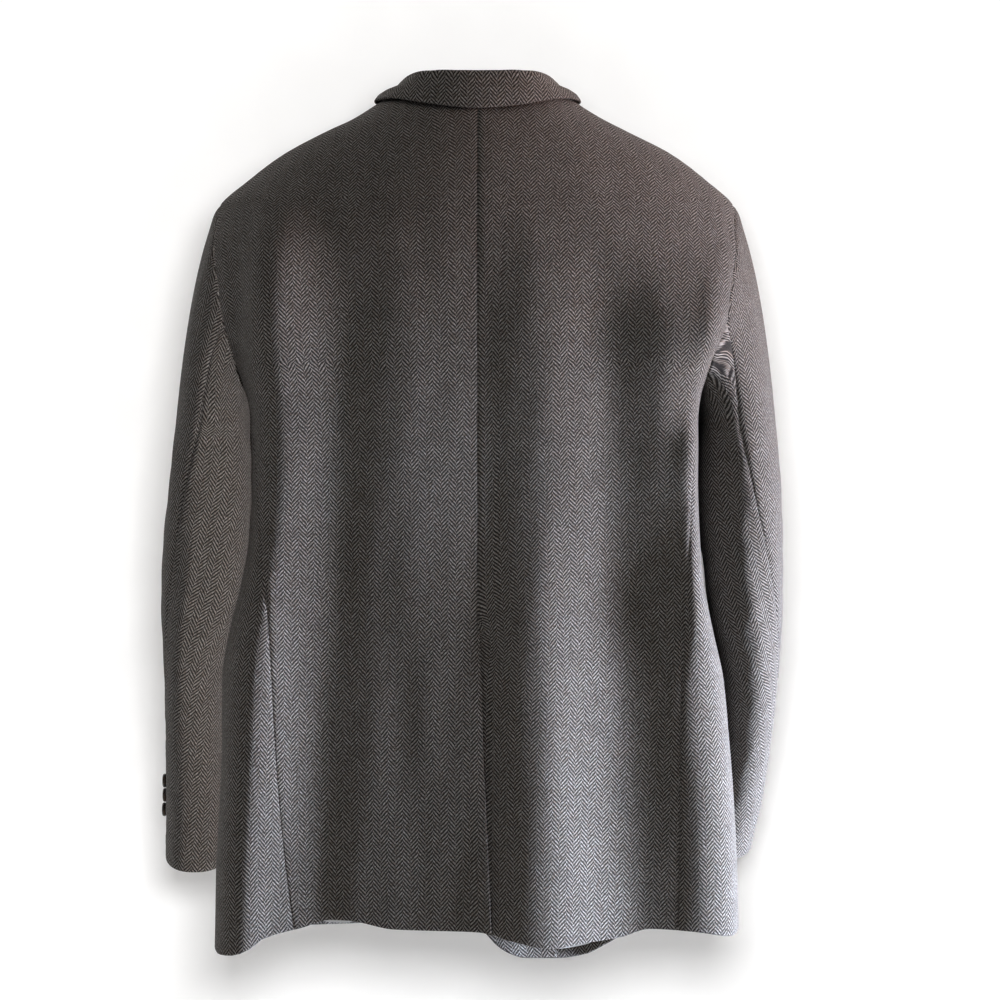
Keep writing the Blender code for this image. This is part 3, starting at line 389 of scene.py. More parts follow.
@dataclass
class Armhole:
    """The armhole: an egg-shaped line on the body, 0 degrees at the shoulder tip."""

    form: BodyForm
    shoulder_tip: float = -0.088
    underarm: float = -0.275
    depth: float = 0.076
    egg: float = 0.15
    seam: float = -0.245
    rows: int = 5

    @property
    def middle(self) -> float:
        """Return the height halfway between the shoulder tip and the underarm."""
        return (self.shoulder_tip + self.underarm) / 2

    @property
    def half(self) -> float:
        """Return half the armhole's height."""
        return (self.shoulder_tip - self.underarm) / 2

    def angle_at(self, z: Array) -> Array:
        """Return the angle at which the armhole's rear half is at a height."""
        return np.degrees(np.arccos(np.clip((z - self.middle) / self.half, -1.0, 1.0)))

    def line(self, angle: Array) -> tuple[Array, Array]:
        """Return the armhole's reach forwards and its height at an angle."""
        radians = np.radians(angle)
        z = self.middle + self.half * np.cos(radians)
        y = -self.depth * np.sin(radians) * (1 - self.egg * np.cos(radians))
        return y, z

    def place(self, angle: Array, side: Side) -> tuple[Array, Array]:
        """Return the turn and the height of the armhole on the body at an angle."""
        y, z = self.line(angle)
        power = self.form.power(y > 0, z)
        share = (np.abs(y) / self.form.depth(y > 0, z)) ** power
        share = np.maximum(share, 1e-12)
        turn = np.degrees(np.arctan(((1 - share) / share) ** (1 / power)))
        return side.sign * np.where(y > 0, 180.0 - turn, turn), z

    def angles(self) -> Array:
        """Return the angles of the armhole's rows, from the side seam up to the tip."""
        return np.linspace(self.angle_at(self.seam), 0.0, self.rows + 1)


# Panels cut between their seams

# Each hem's distances across and heights.
BACK_HEM = (
    (-0.251, -0.7985), (-0.2449, -0.8028), (-0.233, -0.8024), (-0.219, -0.7987), (-0.2, -0.7864), (-0.164, -0.7774),
    (-0.1361, -0.7698), (-0.1207, -0.7703), (-0.078, -0.7782), (0.0, -0.78), (0.0307, -0.788), (0.0697, -0.7947),
    (0.0986, -0.7909), (0.1354, -0.7858), (0.1613, -0.7785), (0.2069, -0.7812), (0.241, -0.7856), (0.2485, -0.782),
)
LEFT_FRONT_HEM = ((-0.251, -0.7985), (-0.18, -0.795), (-0.09, -0.795), (-0.045, -0.789), (-0.02, -0.77))
RIGHT_FRONT_HEM = (
    (0.0059, -0.8047), (0.0158, -0.8176), (0.0268, -0.8253), (0.0417, -0.8302), (0.0755, -0.8306),
    (0.1028, -0.8264), (0.1252, -0.8158), (0.15, -0.803), (0.2485, -0.782),
)
SIDE_BACK_SEAM = table(
    SeamPoint,
    (-0.8, 0.17, 0.1873), (-0.708, 0.1818, 0.1897), (-0.6, 0.191, 0.1908), (-0.536, 0.1945, 0.1934),
    (-0.472, 0.1993, 0.1962), (-0.409, 0.206, 0.2004), (-0.34, 0.211, 0.204), (-0.245, 0.219, 0.21),
)
FRONT_EDGE = table(
    SeamPoint,
    (-0.83, -0.03, 0.01), (-0.805, -0.026, 0.0059), (-0.77, -0.02, -0.001), (-0.72, -0.006, -0.008),
    (-0.66, 0.008, -0.014), (-0.6, 0.016, -0.018), (-0.52, 0.02, -0.02), (-0.335, 0.02, -0.02), (-0.3, 0.0, 0.0),
    (-0.25, -0.023, 0.023), (-0.2, -0.041, 0.041), (-0.15, -0.056, 0.056), (-0.1, -0.068, 0.068),
    (-0.06, -0.0745, 0.0745), (-0.03, -0.077, 0.077), (0.0175, -0.0805, 0.0805),
)
BACK_SHARES = (0.0, 0.08, 0.18, 0.32, 0.46, 0.6, 0.74, 0.88, 1.0)
VENT_EDGE_Z = (-0.78, -0.6836, -0.6205, -0.503, -0.495)
VENT_EDGE_X = (0.0128, 0.0086, 0.0054, 0.0016, 0.0)
NECK_TURNS = (0.0, 13.0, 30.0, 46.0, 90.0)
NECK_HEIGHTS = (0.002, 0.003, 0.0065, 0.0125, 0.0175)


@dataclass
class Cut:
    """Where the body's panels meet: hem, seams, vent, front edges and neckline."""

    form: BodyForm
    armhole: Armhole
    hem_level: float = -0.79
    vent_top: float = -0.503
    neck_top: float = 0.0175
    front_neck: float = 0.008
    side_front_turn: float = 112.0
    back_blend: float = 0.1
    front_blend: float = 0.15
    quarter_foot: dict[Side, float] = field(default_factory=lambda: {Side.LEFT: -0.77, Side.RIGHT: -0.805})
    skirt_rows: int = 8
    waist_rows: int = 7
    shoulder_rows: int = 5
    underarm_fade: float = -0.42
    column_least: float = 0.5
    vent_lap: float = 0.035
    lap_inset: float = 0.0046

    def __post_init__(self) -> None:
        """Make the curves of the tables, and the heights of the shared rows."""
        back, left, right = (SmoothCurve(*zip(*hem)) for hem in (BACK_HEM, LEFT_FRONT_HEM, RIGHT_FRONT_HEM))
        self.hems = {(Side.LEFT, False): back, (Side.RIGHT, False): back}
        self.hems |= {(Side.LEFT, True): left, (Side.RIGHT, True): right}
        self.side_back = curves_of(SIDE_BACK_SEAM, "z", ("left", "right"))
        self.front_edge = curves_of(FRONT_EDGE, "z", ("left", "right"))
        self.vent_edge = SmoothCurve(VENT_EDGE_Z, VENT_EDGE_X)
        self.neckline = SmoothCurve(NECK_TURNS, NECK_HEIGHTS)
        skirt = np.linspace(self.hem_level, self.vent_top, self.skirt_rows + 1)[:-1]
        waist = np.linspace(self.vent_top, self.armhole.seam, self.waist_rows + 1)[:-1]
        arm = self.armhole.line(self.armhole.angles()[:-1])[1]
        top = np.linspace(self.armhole.shoulder_tip, self.neck_top, self.shoulder_rows + 1)
        self.levels = np.concatenate([skirt, waist, arm, top])
        self.seam_row = self.skirt_rows + self.waist_rows

    def hem_height(self, turn: Array, side: Side, front: bool) -> Array:
        """Return the height of the hem at a turn."""
        return self.hems[side, front](self.form.point(turn, self.hem_level)[..., 0])

    def row_height(self, row: Array, hem: Array, neck: Array) -> Array:
        """Return the height of a shared row where the hem and the neck have given heights."""
        level = np.interp(row, np.arange(len(self.levels)), self.levels)
        low = np.maximum(0.0, 1.0 - row / self.skirt_rows)
        tip = self.armhole.shoulder_tip
        high = np.maximum(0.0, (level - tip) / (self.neck_top - tip))
        return level + (hem - self.hem_level) * low + (neck - self.neck_top) * high

    def _seam_or_armhole(self, z: Array, side: Side, below: Array, rear: bool) -> Array:
        """Return a side seam's turn below the armhole, and the armhole's turn above it."""
        angle = self.armhole.angle_at(z) * (1 if rear else -1)
        above = self.armhole.place(angle, side)[0]
        above = np.where(z >= self.armhole.shoulder_tip - 1e-6, side.sign * 90.0, above)
        top = self.armhole.place(self.armhole.angle_at(self.armhole.seam) * (1 if rear else -1), side)[0]
        blend = self.back_blend if rear else self.front_blend
        bent = mix(below, top, soft_step((z - self.armhole.seam + blend) / blend))
        return np.where(z > self.armhole.seam, above, bent)

    def side_back_turn(self, z: Array, side: Side) -> Array:
        """Return the turn of the seam between the back and the side body."""
        x = side.sign * self.side_back[side.label](z)
        return self._seam_or_armhole(z, side, self.form.turn_at(x, z, side, False), True)

    def side_front_turn_at(self, z: Array, side: Side) -> Array:
        """Return the turn of the seam between the front and the side body."""
        below = np.full(np.shape(z), side.sign * self.side_front_turn)
        return self._seam_or_armhole(z, side, below, False)

    def front_edge_turn(self, z: Array, side: Side) -> Array:
        """Return the turn of the front edge, or of the roll line above the top button."""
        return self.form.turn_at(self.front_edge[side.label](z), z, side, True)

    def centre_back_turn(self, z: Array, side: Side) -> Array:
        """Return the turn of a back's centre edge: the seam, and the vent below it."""
        if side is Side.LEFT:
            return self.form.turn_at(self.vent_edge(z), z, Side.RIGHT, False)
        lapped = soft_step((self.vent_top + 0.006 - z) / 0.012)
        return self.form.turn_at(-self.vent_lap * lapped, z, side, False)

    def back_grid(
        self, rows: Array, shares: Array, side: Side, edge: Optional[Callable[[Array, Side], Array]] = None
    ) -> tuple[Array, Array]:
        """Find the turns and heights of a back's grid.

        Args:
            rows: Shared rows, which may lie between two of them.
            shares: Shares of the way from the centre back to the side seam.
            side: The wearer's left or right.
            edge: The turn of the centre edge at heights, if it isn't the back's own.

        Returns:
            Turns and heights, one for each row and share.
        """
        knots = np.asarray(BACK_SHARES)
        place = np.interp(shares, knots, np.arange(len(knots)))
        low = np.minimum(place.astype(int), len(knots) - 2)
        part = place - low

        def turn_of(z: Array) -> Array:
            """Return turns at heights, whose last axis runs over the shares."""
            inner = side.sign * (edge or self.centre_back_turn)(z, side)
            outer = side.sign * self.side_back_turn(z, side)
            ends = []
            for index in (low, low + 1):
                clear = np.maximum(knots[index] * outer, inner + index * self.column_least)
                ends.append(np.where(index == 0, inner, clear))
            return side.sign * mix(ends[0], ends[1], part)

        foot = turn_of(np.full(len(shares), self.hem_level))
        hem = self.hem_height(foot, side, False)
        neck = self.neckline(90.0 * shares)
        z = self.row_height(rows[:, None], hem[None, :], neck[None, :])
        return turn_of(z), z

    def front_grid(self, rows: Array, shares: Array, side: Side) -> tuple[Array, Array]:
        """Find the turns and heights of a front's grid, from its edge to the side seam.

        Args:
            rows: Shared rows, which may lie between two of them.
            shares: Shares of the way from the front edge to the side seam.
            side: The wearer's left or right.

        Returns:
            Turns and heights, one for each row and share.
        """
        quarter = self.front_edge_turn(np.float64(self.quarter_foot[side]), side)
        outer = self.side_front_turn_at(np.float64(self.hem_level), side)
        hem = self.hem_height(mix(quarter, outer, shares), side, True)
        neck = mix(self.front_neck, self.neck_top, shares)
        z = self.row_height(rows[:, None], hem[None, :], neck[None, :])
        turn = mix(self.front_edge_turn(z, side), self.side_front_turn_at(z, side), shares[None, :])
        return turn, z

    def side_grid(self, rows: Array, shares: Array, side: Side) -> tuple[Array, Array]:
        """Find the turns and heights of a side body's grid, from its back to its front seam.

        Args:
            rows: Shared rows up to the armhole.
            shares: Shares of the way from the back seam to the front seam.
            side: The wearer's left or right.

        Returns:
            Turns and heights, one for each row and share.
        """
        seam_angle = self.armhole.angle_at(self.armhole.seam)
        level = np.float64(self.hem_level)
        foot = mix(self.side_back_turn(level, side), self.side_front_turn_at(level, side), shares)
        rear, fore = self.hem_height(foot, side, False), self.hem_height(foot, side, True)
        hem = np.where(np.abs(foot) > 90.0, fore, rear)
        top_turn, top_z = self.armhole.place(mix(seam_angle, 360.0 - seam_angle, shares), side)
        at = np.float64(self.armhole.seam)
        straight = mix(self.side_back_turn(at, side), self.side_front_turn_at(at, side), shares)
        z = self.row_height(rows[:, None], hem[None, :], np.float64(self.neck_top))
        turn = mix(self.side_back_turn(z, side), self.side_front_turn_at(z, side), shares[None, :])
        level_here = np.interp(rows, np.arange(len(self.levels)), self.levels)
        high = np.maximum(0.0, (level_here - self.underarm_fade) / (at - self.underarm_fade))[:, None]
        turn = turn + (top_turn - straight)[None, :] * high**4
        return turn, z + (top_z - at)[None, :] * high

    def vent_lift(self, turn: Array, z: Array, side: Side) -> Array:
        """Return the lift of a back near the vent: the right back lies behind the left."""
        if side is Side.LEFT:
            return np.zeros(np.shape(z))
        beside = (0.03 - self.form.point(turn, z)[..., 0]) / 0.022
        return -self.lap_inset * soft_step(beside) * soft_step((self.vent_top + 0.016 - z) / 0.02)

    def front_lift(self, turn: Array, z: Array, side: Side) -> Array:
        """Return the lift of a front near its edge: the right front lies behind the left."""
        if side is Side.LEFT:
            return np.zeros(np.shape(z))
        beside = (0.05 - self.form.point(turn, z)[..., 0]) / 0.02
        return -0.005 * soft_step(beside) * soft_step((-0.25 - z) / 0.06)


# Cloth: flattening a piece to its cut, and sewing a thin wall


@dataclass
class Pattern:
    """Flattens shaped cloth back to the piece it was cut as, to find how its weave runs."""

    rounds: int = 900
    coarse_step: float = 0.011
    haste: float = 1.5
    calm_rounds: int = 8
    calm_fade: float = 0.6

    @staticmethod
    def _picked(reach: Array, step: float) -> Array:
        """Return the numbers of rows spread evenly along a piece, with both its ends."""
        wanted = np.linspace(0.0, reach[-1], max(4, int(reach[-1] / step)) + 1)
        return np.unique(np.abs(reach[None, :] - wanted[:, None]).argmin(axis=1))

    def flatten(self, points: Array, first_u: Optional[Array] = None, calm: float = 0.0) -> Array:
        """Lay a grid of cloth flat with as little stretch as it can be.

        Args:
            points: Points in rows up the piece and columns across it.
            first_u: Where the first column lies across the weave, if it is cut on a
                straight line. Otherwise the middle column is set upright.
            calm: How far below the head the weave is smoothed.

        Returns:
            Distances across and along the weave, in metres, for each point.
        """
        across = np.linalg.norm(np.diff(points, axis=1), axis=-1)
        along = np.linalg.norm(np.diff(points, axis=0), axis=-1)
        up = np.concatenate([[0.0], np.cumsum(along.mean(axis=1))])
        over = np.concatenate([[0.0], np.cumsum(across.mean(axis=0))])
        rows, columns = self._picked(up, self.coarse_step), self._picked(over, self.coarse_step)
        coarse = points[np.ix_(rows, columns)]
        high = np.concatenate([np.zeros((1, points.shape[1])), np.cumsum(along, axis=0)], axis=0)
        wide = np.concatenate([np.zeros((points.shape[0], 1)), np.cumsum(across, axis=1)], axis=1)
        flat = np.stack([wide, high], axis=-1)[np.ix_(rows, columns)]
        flat[..., 1] += coarse[:1, :, 2] - coarse[0, 0, 2]
        if first_u is None:
            flat[..., 0] -= flat[:, flat.shape[1] // 2, 0][:, None]
        else:
            flat[..., 0] += first_u[rows][:, None]
        pinned = flat[:, 0].copy() if first_u is not None else None
        flat = self._relax(coarse, flat, pinned)
        if pinned is None:
            flat = self._upright(flat)
        else:
            flat[..., 1] -= flat[-1, 0, 1]
        if calm > 0.0:
            share = soft_step((up[rows] - up[-1] + calm) / (self.calm_fade * calm))[:, None, None]
            for _ in range(self.calm_rounds):
                wide_flat = np.pad(flat, ((1, 1), (1, 1), (0, 0)), mode="reflect", reflect_type="odd")
                around = wide_flat[:-2, 1:-1] + wide_flat[2:, 1:-1] + wide_flat[1:-1, :-2] + wide_flat[1:-1, 2:]
                flat = mix(flat, around / 4.0, share)
        return self._spread(flat, up, over, rows, columns)

    def _relax(self, coarse: Array, flat: Array, pinned: Optional[Array]) -> Array:
        """Move flat points until their spacing is that of the shaped ones.

        Args:
            coarse: Shaped points.
            flat: A first guess of the flat ones.
            pinned: Where the first column stays, if it does.

        Returns:
            The settled flat points.
        """
        whole, front, back = slice(None), slice(0, -1), slice(1, None)
        pairs = (
            ((whole, front), (whole, back)), ((front, whole), (back, whole)), ((front, front), (back, back)),
            ((front, back), (back, front)),
        )
        lengths = [np.linalg.norm(coarse[b] - coarse[a], axis=-1) for a, b in pairs]
        for _ in range(self.rounds):
            move, count = np.zeros_like(flat), np.zeros(flat.shape[:2])
            for (a, b), length in zip(pairs, lengths):
                gap = flat[b] - flat[a]
                now = np.maximum(np.linalg.norm(gap, axis=-1), 1e-9)
                push = gap * ((now - length) / now * 0.5)[..., None]
                move[a] += push
                move[b] -= push
                count[a] += 1
                count[b] += 1
            flat = flat + move / count[..., None] * self.haste
            if pinned is not None:
                flat[:, 0] = pinned
        return flat

    @staticmethod
    def _upright(flat: Array) -> Array:
        """Return the flat piece turned so that its middle column stands upright at zero."""
        middle = flat[:, flat.shape[1] // 2]
        lean = middle[-1] - middle[0]
        angle = math.atan2(lean[0], lean[1])
        cosine, sine = math.cos(angle), math.sin(angle)
        turned = np.stack(
            [flat[..., 0] * cosine - flat[..., 1] * sine, flat[..., 0] * sine + flat[..., 1] * cosine], axis=-1
        )
        return turned - turned[:, turned.shape[1] // 2].mean(axis=0) * np.array([1.0, 0.0])

    @staticmethod
    def _spread(flat: Array, up: Array, over: Array, rows: Array, columns: Array) -> Array:
        """Spread the flat points that were picked over the whole grid.

        Args:
            flat: The flat points of the picked rows and columns.
            up: How far up the piece each row lies.
            over: How far across the piece each column lies.
            rows: The picked rows.
            columns: The picked columns.

        Returns:
            Flat points for every row and column.
        """
        tall = np.empty((len(up), len(columns), 2))
        for column in range(len(columns)):
            for axis in range(2):
                tall[:, column, axis] = SmoothCurve(up[rows], flat[:, column, axis])(up)
        full = np.empty((len(up), len(over), 2))
        for row in range(len(up)):
            for axis in range(2):
                full[row, :, axis] = np.interp(over, over[columns], tall[row, :, axis])
        return full


@dataclass(frozen=True)
class Rims:
    """How wide each edge of a piece of cloth is rounded, in metres."""

    foot: float = 0.0012
    head: float = 0.0008
    inner: float = 0.0008
    outer: float = 0.0008
    sewn: tuple[str, ...] = ()
    sewn_share: float = 0.45


def spaced(length: float, step: float, first: float, last: float) -> Array:
    """Space samples along a length, close together at its two rounded ends.

    Args:
        length: The length in metres.
        step: The spacing away from the ends.
        first: How wide the first end is rounded.
        last: How wide the last end is rounded.

    Returns:
        Shares of the length, from 0 to 1.
    """
    curve = np.array([0.0, 0.08, 0.3, 0.65, 1.0, 2.2])
    head, tail = curve * first / length, 1.0 - curve[::-1] * last / length
    count = max(2, int(round(length * (tail[0] - head[-1]) / step)))
    return np.concatenate([head, np.linspace(head[-1], tail[0], count + 1)[1:-1], tail])


@dataclass
class Cloth:
    """One piece of cloth, as a face of points with their outward directions."""

    name: str
    points: Array
    normals: Array
    thickness: Array | float
    grain: Array
    rims: Rims = Rims()
    skipped: dict[str, int] = field(default_factory=dict)

    def _rounding(self) -> tuple[Array, Array]:
        """Return how round the piece is near its edges, on its face and on its back.

        Both are 0 at a free edge and 1 inside the rims. At a sewn edge the face rounds off
        only a part of the way.
        """
        face, back = np.ones(self.points.shape[:2]), np.ones(self.points.shape[:2])
        before, after = self.skipped.get("inner", 0), self.skipped.get("outer", 0)
        own = slice(before, self.points.shape[1] - after)
        for edge, distance in edge_distances(self.points[:, own]).items():
            if edge in self.skipped:
                continue
            distance = np.pad(distance, ((0, 0), (before, after)), mode="edge")
            inside = np.clip(distance / getattr(self.rims, edge), 0.0, 1.0)
            curve = np.sqrt(np.maximum(0.0, 1.0 - (1.0 - inside) ** 2))
            back *= curve
            face *= mix(1.0 - self.rims.sewn_share, 1.0, curve) if edge in self.rims.sewn else curve
        return face, back

    def sew(self, finish: "Finish") -> Object:
        """Make the piece a closed thin wall with rounded edges.

        Args:
            finish: What the cloth is made of.

        Returns:
            The new object.
        """
        rows, columns = self.points.shape[:2]
        face, back = self._rounding()
        whole = np.broadcast_to(self.thickness, (rows, columns))
        outer = self.points - self.normals * (whole / 2 * (1 - face))[..., None]
        inner = self.points - self.normals * (whole * back + whole / 2 * (1 - face) * (1 - back))[..., None]
        front = np.arange(rows * columns).reshape(rows, columns)
        behind = front.copy()
        behind[1:-1, 1:-1] = rows * columns + np.arange((rows - 2) * (columns - 2)).reshape(rows - 2, -1)
        vertices = np.concatenate([outer.reshape(-1, 3), inner[1:-1, 1:-1].reshape(-1, 3)])
        grain = np.concatenate([self.grain.reshape(-1, 2), self.grain[1:-1, 1:-1].reshape(-1, 2)])

        faces = np.concatenate([quads(front), quads(behind)[:, ::-1]])
        middle = faces[(rows // 2) * (columns - 1) + columns // 2]
        a, b, c = vertices[middle[0]], vertices[middle[1]], vertices[middle[2]]
        if np.dot(np.cross(b - a, c - a), self.normals[rows // 2, columns // 2]) < 0:
            faces = faces[:, ::-1]
        made = mesh_object(self.name, vertices, faces, finish)
        weave = made.data.uv_layers.new(name="grain")
        weave.uv.foreach_set("vector", grain[faces.reshape(-1)].astype(np.float32).ravel())
        return made


def quads(index: Array) -> Array:
    """Return the corners of every cell of a grid of vertex numbers."""
    cells = (index[:-1, :-1], index[:-1, 1:], index[1:, 1:], index[1:, :-1])
    return np.stack(cells, axis=-1).reshape(-1, 4)


def mesh_object(name: str, vertices: Array, faces: Array, finish: "Finish") -> Object:
    """Make a smooth mesh object of four-sided faces.

    Args:
        name: The object's name.
        vertices: Points.
        faces: Rows of four vertex numbers.
        finish: What the object is made of.

    Returns:
        The new object, in the scene.
    """
    mesh = bpy.data.meshes.new(name)
    mesh.vertices.add(len(vertices))
    mesh.vertices.foreach_set("co", np.asarray(vertices, np.float32).ravel())
    mesh.loops.add(faces.size)
    mesh.loops.foreach_set("vertex_index", faces.astype(np.int32).ravel())
    mesh.polygons.add(len(faces))
    mesh.polygons.foreach_set("loop_start", np.arange(0, faces.size, 4, dtype=np.int32))
    mesh.update(calc_edges=True)
    mesh.validate()
    mesh.shade_smooth()
    mesh.materials.append(finish.material)
    made = bpy.data.objects.new(name, mesh)
    bpy.context.scene.collection.objects.link(made)
    return made


# Finishes


class Wiring:
    """Places shader nodes in a tree and links them, with plain calls."""

    def __init__(self, tree: Tree) -> None:
        """Keep the tree that the nodes go into."""
        self.tree = tree

    def node(self, kind: str, **settings: object) -> Node:
        """Place a node and give it its settings.

        Args:
            kind: Blender's name for the node's type.
            **settings: Properties of the node.

        Returns:
            The new node.
        """
        made = self.tree.nodes.new(kind)
        for name, value in settings.items():
            setattr(made, name, value)
        return made

    def feed(self, socket: Socket, value: object) -> None:
        """Link an output to a socket, or set a plain value on it."""
        if isinstance(value, Socket):
            self.tree.links.new(value, socket)
        else:
            socket.default_value = value

    def wire(self, node: Node, **inputs: object) -> Node:
        """Feed a node's inputs, named with underscores for spaces, and return the node."""
        for name, value in inputs.items():
            self.feed(node.inputs[name.replace("_", " ")], value)
        return node

    def fed(self, node: Node, sockets: Sequence[int], values: Sequence[object], output: int = 0) -> Socket:
        """Feed a node's inputs by their numbers, and return one of its outputs."""
        for number, value in zip(sockets, values):
            if value is not None:
                self.feed(node.inputs[number], value)
        return node.outputs[output]

    def math(self, operation: str, first: object, second: object = None, third: object = None) -> Socket:
        """Return the output of a Math node fed with values or outputs."""
        return self.fed(self.node("ShaderNodeMath", operation=operation), (0, 1, 2), (first, second, third))

    def blend(self, share: object, first: object, second: object) -> Socket:
        """Return a number mixed between two others by a share."""
        return self.fed(self.node("ShaderNodeMix", data_type="FLOAT"), (0, 2, 3), (share, first, second))

    def colour(self, share: object, first: object, second: object, **settings: str) -> Socket:
        """Return a colour mixed between two others by a share."""
        return self.fed(self.node("ShaderNodeMix", data_type="RGBA", **settings), (0, 6, 7), (share, first, second), 2)

    def range(self, value: object, low: float, high: float, start: float = 0.0, end: float = 1.0) -> Socket:
        """Return a value read between low and high, and spread from start to end."""
        made = self.node("ShaderNodeMapRange", interpolation_type="SMOOTHSTEP")
        return self.fed(made, (0, 1, 2, 3, 4), (value, low, high, start, end))

    def noise(self, vector: object, scale: float, detail: float = 2.0, rough: float = 0.5) -> Socket:
        """Return the value of a noise of a scale, read at a vector."""
        made = self.node("ShaderNodeTexNoise")
        return self.wire(made, Vector=vector, Scale=scale, Detail=detail, Roughness=rough).outputs[0]

    def split(self, vector: object) -> tuple[Socket, Socket]:
        """Return the first two parts of a vector."""
        made = self.wire(self.node("ShaderNodeSeparateXYZ"), Vector=vector)
        return made.outputs[0], made.outputs[1]

    def join(self, x: object, y: object, z: object = 0.0) -> Socket:
        """Return a vector of three numbers."""
        return self.wire(self.node("ShaderNodeCombineXYZ"), X=x, Y=y, Z=z).outputs[0]

    def group(self, tree: Tree, **inputs: object) -> Node:
        """Place a node group and feed its inputs."""
        return self.wire(self.node("ShaderNodeGroup", node_tree=tree), **inputs)


def new_group(name: str, inputs: dict[str, float | None], outputs: Sequence[str]) -> tuple[Wiring, dict, Node]:
    """Start a shader node group.

    Args:
        name: The group's name.
        inputs: Each input's name, with its usual number, or None for a vector.
        outputs: The names of the group's number outputs.

    Returns:
        The group's wiring, its inputs by name, and the node that its outputs feed.
    """
    tree = bpy.data.node_groups.new(name, "ShaderNodeTree")
    for label, number in inputs.items():
        kind = "NodeSocketVector" if number is None else "NodeSocketFloat"
        socket = tree.interface.new_socket(name=label, in_out="INPUT", socket_type=kind)
        if number is not None:
            socket.default_value = number
    for label in outputs:
        tree.interface.new_socket(name=label, in_out="OUTPUT", socket_type="NodeSocketFloat")
    wiring = Wiring(tree)
    entry, end = wiring.node("NodeGroupInput"), wiring.node("NodeGroupOutput")
    return wiring, {socket.name: socket for socket in entry.outputs if socket.name}, end


class Effects:
    """The node groups that several finishes share, each built once."""

    _built: dict[str, Tree] = {}

    @classmethod
    def herringbone(cls) -> Tree:
        """Build the herringbone weave, yarn by yarn.

        Eight warp yarns make a column, in which each yarn's floats step up by one pick.
        The next column steps the other way and starts half a float later, which breaks the
        lines where the columns meet.

        Returns:
            A group with Light Yarn, Crown and Yarn Tone as its outputs.
        """
        if "herringbone" in cls._built:
            return cls._built["herringbone"]
        inputs = {"Grain": None, "Warp Step": 0.000888, "Pick Step": 0.00098, "Column Yarns": 8.0}
        w, given, end = new_group("Herringbone weave", inputs, ("Light Yarn", "Crown", "Yarn Tone"))
        x, y = w.split(given["Grain"])
        u, v = w.math("DIVIDE", x, given["Warp Step"]), w.math("DIVIDE", y, given["Pick Step"])
        end_number, pick_number = w.math("FLOOR", u), w.math("FLOOR", v)
        in_end, in_pick = w.math("SUBTRACT", u, end_number), w.math("SUBTRACT", v, pick_number)
        column = w.math("FLOOR", w.math("DIVIDE", end_number, given["Column Yarns"]))
        place = w.math("SUBTRACT", end_number, w.math("MULTIPLY", column, given["Column Yarns"]))
        odd = w.math("FLOORED_MODULO", column, 2.0)
        mirrored = w.math("SUBTRACT", w.math("SUBTRACT", given["Column Yarns"], 1.0), place)
        climb = w.blend(odd, place, mirrored)
        total = w.math("ADD", w.math("ADD", climb, pick_number), w.math("MULTIPLY", odd, 2.0))
        phase = w.math("FLOORED_MODULO", total, 4.0)
        warp_up = w.math("LESS_THAN", phase, 1.5)
        run = w.blend(odd, in_end, w.math("SUBTRACT", 1.0, in_end))
        warp_along = w.math("MULTIPLY", w.math("ADD", phase, in_pick), 0.5)
        weft_along = w.math("MULTIPLY", w.math("ADD", w.math("SUBTRACT", phase, 2.0), run), 0.5)
        along = w.blend(warp_up, weft_along, warp_along)
        across = w.blend(warp_up, in_pick, in_end)
        side = w.math("POWER", w.math("ABSOLUTE", w.math("MULTIPLY_ADD", across, 2.0, -1.0)), 2.4)
        tip = w.math("POWER", w.math("ABSOLUTE", w.math("MULTIPLY_ADD", along, 2.0, -1.0)), 4.0)
        crown = w.math("MULTIPLY", w.math("SUBTRACT", 1.0, side), w.math("SUBTRACT", 1.0, tip))
        float_number = w.blend(
            warp_up, w.math("ADD", w.math("MULTIPLY", pick_number, 3.1), 17.0),
            w.math("ADD", w.math("MULTIPLY", end_number, 2.3), w.math("MULTIPLY", pick_number, 0.37)),
        )
        tone = w.node("ShaderNodeTexWhiteNoise", noise_dimensions="2D")
        w.wire(tone, Vector=w.join(float_number, w.blend(warp_up, pick_number, end_number)))
        w.wire(end, Light_Yarn=warp_up, Crown=crown, Yarn_Tone=tone.outputs["Value"])
        cls._built["herringbone"] = w.tree
        return w.tree

    @classmethod
    def nap(cls) -> Tree:
        """Build the raised fibres and the slubs of woollen yarn.

        Returns:
            A group with Fibre, Slub and Cloud as its outputs.
        """
        if "nap" in cls._built:
            return cls._built["nap"]
        w, given, end = new_group("Woollen nap", {"Grain": None, "Fineness": 1.0}, ("Fibre", "Slub", "Cloud"))
        x, y = w.split(given["Grain"])
        fine = w.math("MULTIPLY", x, given["Fineness"]), w.math("MULTIPLY", y, given["Fineness"])
        grain = w.join(*fine)
        stretched = w.join(w.math("MULTIPLY", fine[0], 1.7), w.math("MULTIPLY", fine[1], 0.6))
        slub = w.noise(stretched, 520.0, 2.0, 0.55)
        w.wire(end, Fibre=w.noise(grain, 2600.0, 3.0, 0.65), Slub=slub, Cloud=w.noise(grain, 46.0, 3.0, 0.6))
        cls._built["nap"] = w.tree
        return w.tree


